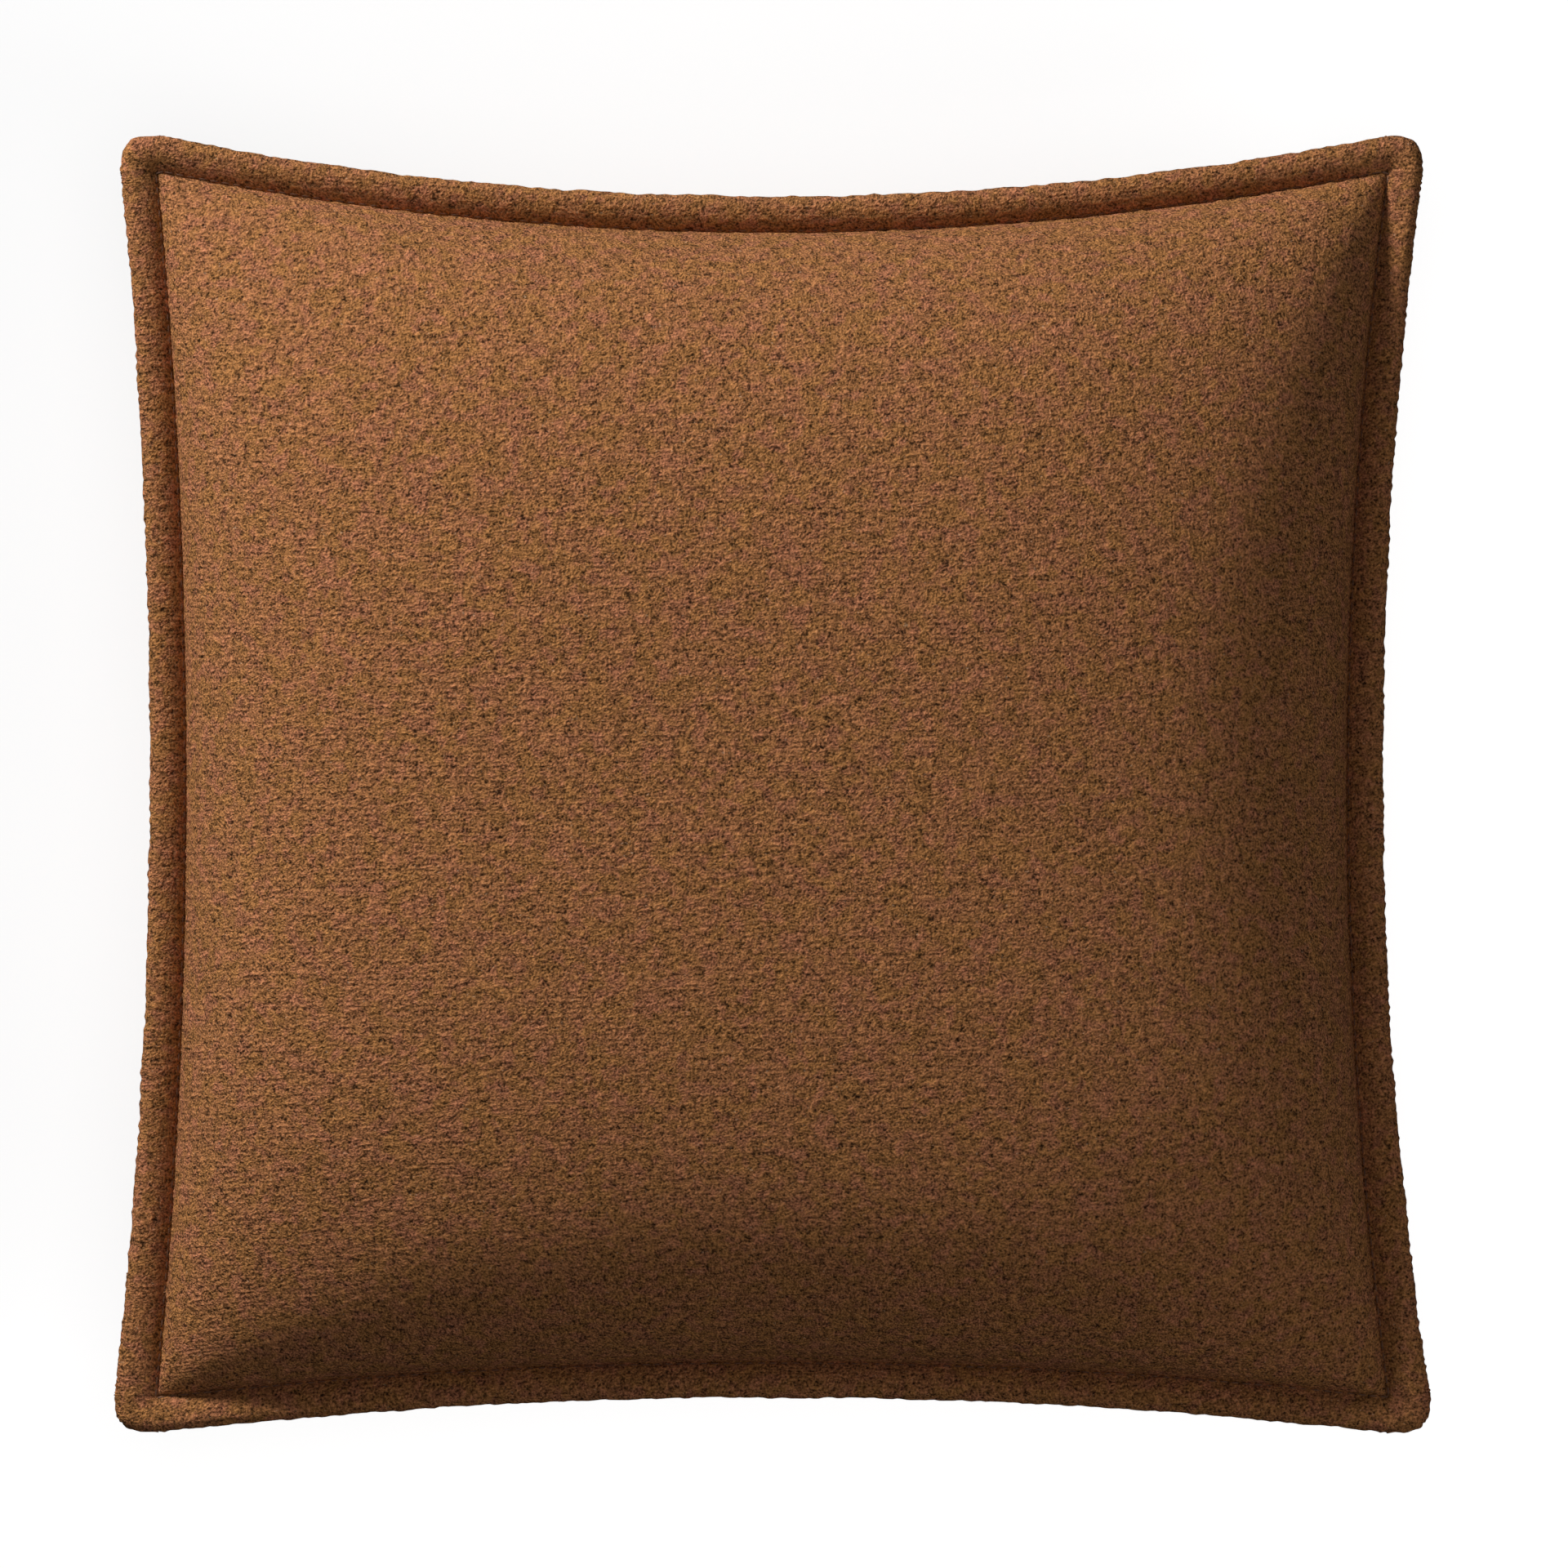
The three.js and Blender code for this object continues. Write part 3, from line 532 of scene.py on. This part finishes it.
def mixed(tree, factor, first, second, blendType="MIX"):
    node = addNode(tree, "Mix", {"Factor": factor}, data_type="RGBA", blend_type=blendType)
    for socket, value in ((node.inputs[6], first), (node.inputs[7], second)):
        if isinstance(value, bpy.types.NodeSocket):
            tree.links.new(value, socket)
        else:
            socket.default_value = (*value, 1)
    return node.outputs[2]


def shaded(tree, colour, value):
    grey = addNode(tree, "CombineColor", {0: value, 1: value, 2: value}).outputs[0]
    return mixed(tree, 1.0, colour, grey, "MULTIPLY")


def bumped(tree, shader, height, distance):
    bump = addNode(tree, "Bump", {"Height": height, "Distance": distance, "Strength": 1.0})
    tree.links.new(bump.outputs["Normal"], shader.inputs["Normal"])


# A wave texture repeats every tenth of pi at a scale of one.
def waveScale(pitch):
    return 2 * math.pi / (20 * pitch)


fabric = {
    "olive": (0.360, 0.156, 0.051),
    "tan": (0.380, 0.156, 0.062),
    "rose": (0.392, 0.151, 0.072),
    "speckColour": (0.62, 0.40, 0.25),
    "sheenColour": (0.85, 0.62, 0.45, 1),
    "sheen": 0.02,
    "specular": 0.08,
    "rowPitch": 0.00192,
    "rowDistortion": 2.2,
    "streak": 0.0042,
    "streakWidth": 0.0020,
    "lean": 0.2,  # turn of the streaks away from the rows, in radians
    "fibre": 0.0008,
    "nub": 0.0021,
    "patch": 0.0095,
    "speck": 0.0011,
    "relief": 0.00060,
    # The tone's range holds painted shade in the gaps between the yarns and painted light on the raised
    # nubs.
    "gapShadeTone": 0.10,  # painted shade: tone of the deepest gaps between the yarns
    "nubLightTone": 1.92,
}


def knitFabric():
    material, tree, shader = newMaterial("brownKnit", 0.92)
    cloth = addNode(tree, "UVMap", {}, uv_map="cloth").outputs["UV"]
    body = addNode(tree, "TexCoord", {}).outputs["Object"]
    stretch = (1 / fabric["streak"], 1 / fabric["streakWidth"], 1)
    turned = {"Vector": cloth, "Rotation": (0, 0, -fabric["lean"])}
    leaning = addNode(tree, "Mapping", turned).outputs["Vector"]
    brokenAt = addNode(tree, "Mapping", {"Vector": leaning, "Scale": stretch}).outputs["Vector"]
    broken = noiseOf(tree, brokenAt, 1.0)
    waves = {"Vector": cloth, "Scale": waveScale(fabric["rowPitch"])}
    waves.update({"Distortion": fabric["rowDistortion"], "Detail": 2.0, "Detail Scale": 0.35})
    rows = addNode(tree, "TexWave", waves, wave_type="BANDS", bands_direction="Y").outputs["Fac"]
    fibre = noiseOf(tree, body, 1 / fabric["fibre"], 3.0)
    nub = noiseOf(tree, body, 1 / fabric["nub"], 2.0)
    patch = noiseOf(tree, body, 1 / fabric["patch"], 3.0)
    shift = addNode(tree, "Mapping", {"Vector": body, "Location": (0.7, 0.3, 0.1)}).outputs["Vector"]
    otherPatch = noiseOf(tree, shift, 1 / (0.6 * fabric["patch"]), 3.0)
    warm = mixed(tree, spread(tree, patch, 0.42, 0.62, 0, 1), fabric["olive"], fabric["tan"])
    hue = mixed(tree, spread(tree, otherPatch, 0.48, 0.66, 0, 1), warm, fabric["rose"])
    rowStrength = spread(tree, patch, 0.4, 0.65, 0.04, 0.28)
    faded = addNode(tree, "Math", {0: rows, 1: rowStrength}, operation="MULTIPLY").outputs[0]
    height = sumOf(tree, faded, broken, 1.4)
    height = sumOf(tree, height, nub, 1.9)
    height = sumOf(tree, height, fibre, 2.0)
    # The tone follows the relief's noises. It is partly the yarn's own uneven tone, and partly painted
    # shade in the gaps and painted light on the raised nubs.
    tone = sumOf(tree, spread(tree, fibre, 0.3, 0.7, -0.7, 0.7), broken, 0.9)
    tone = sumOf(tree, tone, nub, 1.5)
    tone = spread(tree, tone, 0.4, 2.0, fabric["gapShadeTone"], fabric["nubLightTone"])
    speck = noiseOf(tree, shift, 1 / fabric["speck"], 1.0)
    colour = shaded(tree, hue, tone)
    colour = mixed(tree, spread(tree, speck, 0.70, 0.78, 0, 0.5), colour, fabric["speckColour"])
    tree.links.new(colour, shader.inputs["Base Color"])
    tree.links.new(spread(tree, fibre, 0.3, 0.7, 0.97, 0.85), shader.inputs["Roughness"])
    shader.inputs["Specular IOR Level"].default_value = fabric["specular"]
    shader.inputs["Sheen Weight"].default_value = fabric["sheen"]
    shader.inputs["Sheen Roughness"].default_value = 0.6
    shader.inputs["Sheen Tint"].default_value = fabric["sheenColour"]
    bumped(tree, shader, height, fabric["relief"])
    return material


weaves = {
    "brownThread": {
        "colour": (0.19, 0.085, 0.040), "roughness": 0.75, "sheen": 0.2,
        "pitch": 0.0004, "relief": 0.00004, "contrast": 0.35,
    },
    "brownTape": {
        "colour": (0.115, 0.058, 0.029), "roughness": 0.85, "sheen": 0.0,
        "pitch": 0.0006, "relief": 0.00005, "contrast": 0.4,
    },
    "whiteLining": {
        "colour": (0.78, 0.76, 0.70), "roughness": 0.9, "sheen": 0.0,
        "pitch": 0.0007, "relief": 0.00005, "contrast": 0.12,
    },
    "wadding": {
        "colour": (0.85, 0.84, 0.80), "roughness": 1.0, "sheen": 0.0,
        "pitch": 0.004, "relief": 0.0008, "contrast": 0.15,
    },
    "whiteThread": {
        "colour": (0.72, 0.70, 0.64), "roughness": 0.75, "sheen": 0.0,
        "pitch": 0.0004, "relief": 0.00004, "contrast": 0.25,
    },
    "whiteSatin": {
        "colour": (0.80, 0.78, 0.72), "roughness": 0.55, "sheen": 0.3,
        "pitch": 0.0003, "relief": 0.00002, "contrast": 0.1,
    },
}


# Yarn, tape and lining: fine crossed ribs, with a soft change of tone over them.
def wovenMaterial(name):
    weave = weaves[name]
    roughness, contrast = weave["roughness"], weave["contrast"]
    material, tree, shader = newMaterial(name, roughness)
    body = addNode(tree, "TexCoord", {}).outputs["Object"]
    scale = waveScale(weave["pitch"])
    turned = {"Vector": body, "Rotation": (0.3, 0.2, math.pi / 4)}
    ribAt = addNode(tree, "Mapping", turned).outputs["Vector"]
    warp = addNode(tree, "TexWave", {"Vector": ribAt, "Scale": scale}, bands_direction="X").outputs["Fac"]
    weft = addNode(tree, "TexWave", {"Vector": ribAt, "Scale": scale}, bands_direction="Y").outputs["Fac"]
    ribs = addNode(tree, "Math", {0: warp, 1: weft}, operation="MULTIPLY").outputs[0]
    fuzz = noiseOf(tree, body, 0.6 / weave["pitch"], 3.0)
    tone = sumOf(tree, spread(tree, ribs, 0, 1, 1 - contrast, 1 + contrast / 2), fuzz, contrast)
    tree.links.new(shaded(tree, weave["colour"], tone), shader.inputs["Base Color"])
    tree.links.new(spread(tree, fuzz, 0.3, 0.7, roughness, roughness - 0.12), shader.inputs["Roughness"])
    shader.inputs["Sheen Weight"].default_value = weave["sheen"]
    bumped(tree, shader, sumOf(tree, ribs, fuzz, 0.5), weave["relief"])
    return material


brass = {
    "roughness": 0.32,
    "tarnish": (0.16, 0.10, 0.05),
    "worn": (0.42, 0.30, 0.16),
    "wearScale": 900,
    "dull": 0.48,
    "polished": 0.26,
    "relief": 0.00002,
}


def metalFinish():
    material, tree, shader = newMaterial("antiqueBrass", brass["roughness"], 1.0)
    body = addNode(tree, "TexCoord", {}).outputs["Object"]
    worn = noiseOf(tree, body, brass["wearScale"], 4.0)
    tone = mixed(tree, spread(tree, worn, 0.38, 0.62, 0, 1), brass["tarnish"], brass["worn"])
    tree.links.new(tone, shader.inputs["Base Color"])
    gloss = spread(tree, worn, 0.35, 0.65, brass["dull"], brass["polished"])
    tree.links.new(gloss, shader.inputs["Roughness"])
    bumped(tree, shader, worn, brass["relief"])
    return material


nylon = {
    "roughness": 0.38,
    "dark": (0.075, 0.038, 0.018),
    "light": (0.120, 0.064, 0.032),
    "cloudScale": 700,
    "smooth": 0.34,
    "rough": 0.5,
    "relief": 0.00001,
}


def nylonFinish():
    material, tree, shader = newMaterial("brownNylon", nylon["roughness"])
    body = addNode(tree, "TexCoord", {}).outputs["Object"]
    cloud = noiseOf(tree, body, nylon["cloudScale"], 3.0)
    tone = mixed(tree, cloud, nylon["dark"], nylon["light"])
    tree.links.new(tone, shader.inputs["Base Color"])
    gloss = spread(tree, cloud, 0.3, 0.7, nylon["smooth"], nylon["rough"])
    tree.links.new(gloss, shader.inputs["Roughness"])
    bumped(tree, shader, cloud, nylon["relief"])
    return material


coverFabric = knitFabric()
sewingThread = wovenMaterial("brownThread")
zipTape = wovenMaterial("brownTape")
zipChain = nylonFinish()
zipMetal = metalFinish()
insertCloth = wovenMaterial("whiteLining")
wadding = wovenMaterial("wadding")
insertThread = wovenMaterial("whiteThread")
labelSatin = wovenMaterial("whiteSatin")
print("pillow: finishes made")

frontCover()
backCover("coverBackUpper", 1, 300, "cover_back_upper_panel")
backCover("coverBackLower", -1, 40, "cover_back_lower_panel")
print("pillow: cover made")


insert = {
    "looseness": 0.0045,  # room between the cover and the shell
    "shellThickness": 0.0008,
    "clearance": 0.0005,
    "cells": 72,
    "slack": 0.0009,
    "slackSize": 0.035,
}
shellInset = cover["thickness"] + insert["looseness"]
fillInset = shellInset + insert["shellThickness"] + insert["clearance"]


def insertPiece(name, inset, material, slotName, *nodes):
    piece = closedBody(name, insert["cells"], inset)[0]
    places, normals = readVertices(piece.data, "co"), readVertices(piece.data, "normal")
    slack = insert["slack"] * (1 + smoothNoise(places, insert["slackSize"], 5)[:, None])
    writeVertices(piece.data, places - slack * normals)
    piece.data.attributes.remove(piece.data.attributes["cell"])
    piece.data.shade_smooth()
    piece.data.materials.append(material)
    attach(piece, "pillow")
    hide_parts(*nodes)


shellNodes = ("insert_front_shell", "insert_back_shell")
insertPiece("insertShell", shellInset, insertCloth, "insert_cloth", *shellNodes)
insertPiece("insertFilling", fillInset, wadding, "insert_filling", "insert_fill")
print("pillow: insert made")


stitching = {
    "length": 0.0034,
    "gap": 0.0006,
    "radius": 0.00038,
    "ditchOffset": 0.0008,  # the row round the pillow lies this far outside the seam
    "ditchLift": 0.0006,
    "zipInset": 0.0036,  # from the folded edge to the row beside it
    "zipLift": 0.0001,
    "tackStitches": 11,
    "tackWidth": 0.011,
    "tackLength": 0.0024,
    "tackLift": 0.0003,
    "tackLean": 0.25,
    "tackRadii": (0.00045, 0.00035),
}


def emptyPiece(name):
    piece = bpy.data.objects.new(name, bpy.data.meshes.new(name))
    scene.collection.objects.link(piece)
    return piece


# One smooth bead per stitch: at is its middle, ahead and upwards are its own directions.
def addBead(bm, at, ahead, upwards, halves, sides=6, rings=5):
    ahead = Vector(ahead).normalized()
    sideways = Vector(upwards).cross(ahead).normalized()
    turn = Matrix((ahead, sideways, ahead.cross(sideways))).transposed().to_4x4()
    matrix = Matrix.Translation(at) @ turn @ Matrix.Diagonal((*halves, 1))
    bmesh.ops.create_uvsphere(bm, u_segments=sides, v_segments=rings, radius=1, matrix=matrix)


def finishPiece(piece, bm, material, slotName, body, *nodes):
    bm.to_mesh(piece.data)
    bm.free()
    piece.data.shade_smooth()
    piece.data.materials.append(material)
    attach(piece, body)
    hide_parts(*nodes)


# Stitches laid end to end along a path of points.
def stitchPath(name, path, upwards, node):
    steps = np.linalg.norm(np.diff(path, axis=0), axis=1)
    distance = np.concatenate(([0], np.cumsum(steps)))
    pitch = stitching["length"] + stitching["gap"]
    count = int(distance[-1] // pitch)
    ends = np.linspace(0, distance[-1], count + 1)
    points = np.stack([np.interp(ends, distance, path[:, axis]) for axis in range(3)], axis=-1)
    bm = bmesh.new()
    halves = (stitching["length"] / 2, stitching["radius"], stitching["radius"])
    for start, end in zip(points[:-1], points[1:]):
        addBead(bm, (start + end) / 2, end - start, upwards, halves)
    finishPiece(emptyPiece(name), bm, sewingThread, "sewing_thread", "pillow", node)


def seamRing(outside, height):
    t = np.linspace(-1, 1, 400)[:-1]
    one = np.ones_like(t)
    sides = [planOf(p, q, -outside) for p, q in ((t, -one), (one, t), (-t, one), (-one, -t))]
    x, y = np.concatenate([side[0] for side in sides]), np.concatenate([side[1] for side in sides])
    ring = np.stack((x, y, np.full_like(x, height)), axis=-1)
    return np.concatenate((ring, ring[:1]))


ditchLift = cover["ditchRise"] + stitching["ditchLift"]
for name, side, node in (("flangeNeedleStitches", 1, "flange_needle_thread"),
                         ("flangeBobbinStitches", -1, "flange_bobbin_thread")):
    stitchPath(name, seamRing(stitching["ditchOffset"], seamHeight + side * ditchLift), (0, 0, side), node)

zipAlong = np.linspace(-zipHalf, zipHalf, 200)
stitchAcross = zipSizes["foldGap"] / 2 + stitching["zipInset"]
stitchOut = faceOut + stitching["zipLift"]
for name, side, node in (("zipStitchesUpper", -1, "zip_stitch_upper"),
                         ("zipStitchesLower", 1, "zip_stitch_lower")):
    stitchPath(name, zipPlace(side * stitchAcross, stitchOut, zipAlong), outAxis, node)


def barTack(name, side, node):
    bm = bmesh.new()
    count = stitching["tackStitches"]
    middle = side * (zipHalf + 1.5 * stitching["tackLength"])
    out = faceOut + stitching["tackLift"]
    halves = (stitching["tackLength"] / 2, *stitching["tackRadii"])
    for k in range(count):
        at = zipPlace(stitching["tackWidth"] * (k / (count - 1) - 0.5), out, middle)
        lean = stitching["tackLean"] if k % 2 else -stitching["tackLean"]
        ahead = np.array([1, 0, 0]) + lean * acrossAxis
        addBead(bm, at, ahead, outAxis, halves)
    finishPiece(emptyPiece(name), bm, sewingThread, "sewing_thread", "pillow", node)


barTack("barTackLeft", -1, "bar_tack_left")
barTack("barTackRight", 1, "bar_tack_right")
print("pillow: stitched")


def zipTapePiece(name, side, node):
    piece, along, across = gridPiece(name, zipSizes["tapeColumns"], zipSizes["tapeRows"])
    reach = zipHalf + zipSizes["tapeOverrun"]
    distance = zipSizes["rowGap"] / 2 + (across + 1) / 2 * zipSizes["tapeWidth"]
    writeVertices(piece.data, zipPlace(side * distance, 0.0, along * reach))
    if side < 0:
        piece.data.flip_normals()
    thicken = piece.modifiers.new("tape", "SOLIDIFY")
    thicken.thickness = zipSizes["tapeThickness"]
    thicken.offset = -1
    piece.data.materials.append(zipTape)
    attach(piece, "pillow")
    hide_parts(node)


# Each row's teeth reach into the gap but stop short of the middle, where the slider's divider passes.
def zipTeeth(name, side, node):
    bm = bmesh.new()
    pitch = zipSizes["toothPitch"]
    end = zipHalf - zipSizes["stopLength"] - pitch
    count = int(2 * end / pitch)
    halfReach = (zipSizes["rowWidth"] + zipSizes["toothReach"]) / 2
    middle = side * (zipSizes["rowWidth"] + zipSizes["rowGap"] / 2 - halfReach)
    halves = (halfReach, zipSizes["toothLength"], zipSizes["toothHeight"])
    for k in range(count):
        along = -end + (k + 0.25 + 0.25 * side) * pitch
        at = zipPlace(middle, zipSizes["rowMiddle"], along)
        addBead(bm, at, acrossAxis, outAxis, halves, 8, 6)
    finishPiece(emptyPiece(name), bm, zipChain, "zip_chain", "pillow", node)


# A copy of a hard node with its doubles merged and its sharp edges rounded off.
def roundedCopy(name, node, body, radius):
    bm = bmesh.new()
    bm.from_mesh(frame["nodes"][node].data)
    bmesh.ops.remove_doubles(bm, verts=bm.verts, dist=1e-6)
    bmesh.ops.dissolve_limit(bm, angle_limit=0.01, verts=bm.verts, edges=bm.edges)
    sharp = [edge for edge in bm.edges if edge.is_manifold and edge.calc_face_angle() > 0.7]
    bmesh.ops.bevel(
        bm, geom=sharp, offset=radius, segments=2, profile=0.5,
        affect="EDGES", material=-1, clamp_overlap=True,
    )
    finishPiece(emptyPiece(name), bm, zipMetal, "zip_metal", body, node)


for row, side in (("Upper", -1), ("Lower", 1)):
    zipTapePiece("zipTape" + row, side, "zip_tape_" + row.lower())
    zipTeeth("zipTeeth" + row, side, "zip_coil_" + row.lower())
    roundedCopy("zipTopStop" + row, "zip_top_stop_" + row.lower(), "pillow", zipSizes["stopRounding"])
roundedCopy("zipBottomStop", "zip_bottom_stop", "pillow", zipSizes["stopRounding"])
roundedCopy("zipSlider", "zip_slider_body", "zip_slider", zipSizes["sliderRounding"])
roundedCopy("zipPullTab", "zip_pull_tab", "pull_tab", zipSizes["tabRounding"])
print("pillow: zip made")

# Hidden threads and labels keep the shape they have in the frame and only get their finish.
kept = {
    "edge_seam_thread": sewingThread,
    "back_join_thread_left": sewingThread,
    "back_join_thread_right": sewingThread,
    "insert_seam_thread": insertThread,
    "insert_closing_stitch": insertThread,
    "cover_care_label": labelSatin,
    "insert_label": labelSatin,
}
for node, material in kept.items():
    frame["nodes"][node].material_slots[0].material = material


# Azimuths are in degrees from -X round over +Y, elevations in degrees and powers in watts.
studio = {
    "lampDistance": 2.4,
    "keyAzimuth": 48,
    "keyElevation": 23,
    "keySize": 0.7,
    "keyPower": 63.5,
    "fillPower": 7.6,
    "fillSize": 2.2,
    "fillHeight": 2.4,
    "sideAzimuth": 214,
    "sideElevation": 28,
    "sideSize": 1.6,
    "sidePower": 8.8,
    "bouncePower": 9.0,
    "bounceSize": 3.0,
    "air": 0.008,
    "airColour": (1, 0.98, 0.95, 1),
    "floorRadius": 8,
    "floorShade": 0.9,
    "floorGlow": 0.86,
    "farFloorGlow": 0.965,
    "glowFrom": 0.6,
    "glowTo": 4.5,
    "skyRadius": 9,
    "skyGlow": 0.97,
    "cameraHeight": 3.0,
    "cameraShift": 0.0041,
    "frameWidth": 0.5437,
}


def areaLight(name, place, size, power):
    light = bpy.data.lights.new(name, "AREA")
    light.shape = "DISK"
    light.size = size
    light.energy = power
    lamp = bpy.data.objects.new(name, light)
    lamp.location = place
    lamp.rotation_euler = (Vector((0, 0, seamHeight)) - Vector(place)).to_track_quat("-Z", "Y").to_euler()
    lamp.visible_camera = False
    scene.collection.objects.link(lamp)
    return lamp


def lampPlace(azimuth, elevation):
    turn, rise = math.radians(azimuth), math.radians(elevation)
    towards = Vector((-math.cos(turn), math.sin(turn), math.tan(rise))).normalized()
    return towards * studio["lampDistance"] + Vector((0, 0, seamHeight))


def glowingMaterial(name, shade, glow):
    material, tree, shader = newMaterial(name, 1.0)
    shader.inputs["Base Color"].default_value = (shade, shade, shade, 1)
    shader.inputs["Specular IOR Level"].default_value = 0
    shader.inputs["Emission Color"].default_value = (1, 1, 1, 1)
    shader.inputs["Emission Strength"].default_value = glow
    return material


def backdrop(name, bm, material):
    piece = emptyPiece(name)
    bm.to_mesh(piece.data)
    bm.free()
    piece.data.materials.append(material)
    piece.visible_diffuse = False
    piece.visible_glossy = False
    piece.visible_shadow = False
    return piece


# The floor glows more further out, where less of the fill reaches it, so it meets the sky without a line.
floorMesh = bmesh.new()
bmesh.ops.create_circle(floorMesh, cap_ends=True, segments=96, radius=studio["floorRadius"])
floorFinish = glowingMaterial("paleFloor", studio["floorShade"], studio["floorGlow"])
floorTree = floorFinish.node_tree
outwards = addNode(floorTree, "TexCoord", {}).outputs["Object"]
away = addNode(floorTree, "VectorMath", {0: outwards}, operation="LENGTH").outputs["Value"]
glowAt = (studio["glowFrom"], studio["glowTo"])
glow = spread(floorTree, away, *glowAt, studio["floorGlow"], studio["farFloorGlow"])
floorTree.links.new(glow, floorTree.nodes["Principled BSDF"].inputs["Emission Strength"])
floor = backdrop("floor", floorMesh, floorFinish)
skyMesh = bmesh.new()
bmesh.ops.create_uvsphere(skyMesh, u_segments=48, v_segments=24, radius=studio["skyRadius"])
backdrop("sky", skyMesh, glowingMaterial("paleSky", 0.0, studio["skyGlow"]))

keyPlace = lampPlace(studio["keyAzimuth"], studio["keyElevation"])
key = areaLight("keyLight", keyPlace, studio["keySize"], studio["keyPower"])
areaLight("fillLight", (0, 0, studio["fillHeight"]), studio["fillSize"], studio["fillPower"])
sidePlace = lampPlace(studio["sideAzimuth"], studio["sideElevation"])
areaLight("sideLight", sidePlace, studio["sideSize"], studio["sidePower"])
areaLight("floorBounce", (0, 0, -studio["fillHeight"]), studio["bounceSize"], studio["bouncePower"])

# The key leaves the floor alone, so the floor only shows the soft shadow of the fill.
leftOut = bpy.data.collections.new("keyLightLeavesOut")
leftOut.objects.link(floor)
key.light_linking.receiver_collection = leftOut
leftOut.collection_objects[0].light_linking.link_state = "EXCLUDE"

scene.world = bpy.data.worlds.new("air")
scene.world.use_nodes = True
air = scene.world.node_tree.nodes["Background"]
air.inputs["Color"].default_value = studio["airColour"]
air.inputs["Strength"].default_value = studio["air"]
scene.view_settings.view_transform = "Standard"

camera = bpy.data.objects.new("camera", bpy.data.cameras.new("camera"))
aboveSeam = studio["cameraHeight"] - seamHeight
camera.data.lens = camera.data.sensor_width * aboveSeam / studio["frameWidth"]
camera.data.clip_end = 40
camera.location = (studio["cameraShift"], 0, studio["cameraHeight"])
scene.collection.objects.link(camera)
scene.camera = camera
print("pillow: studio set")
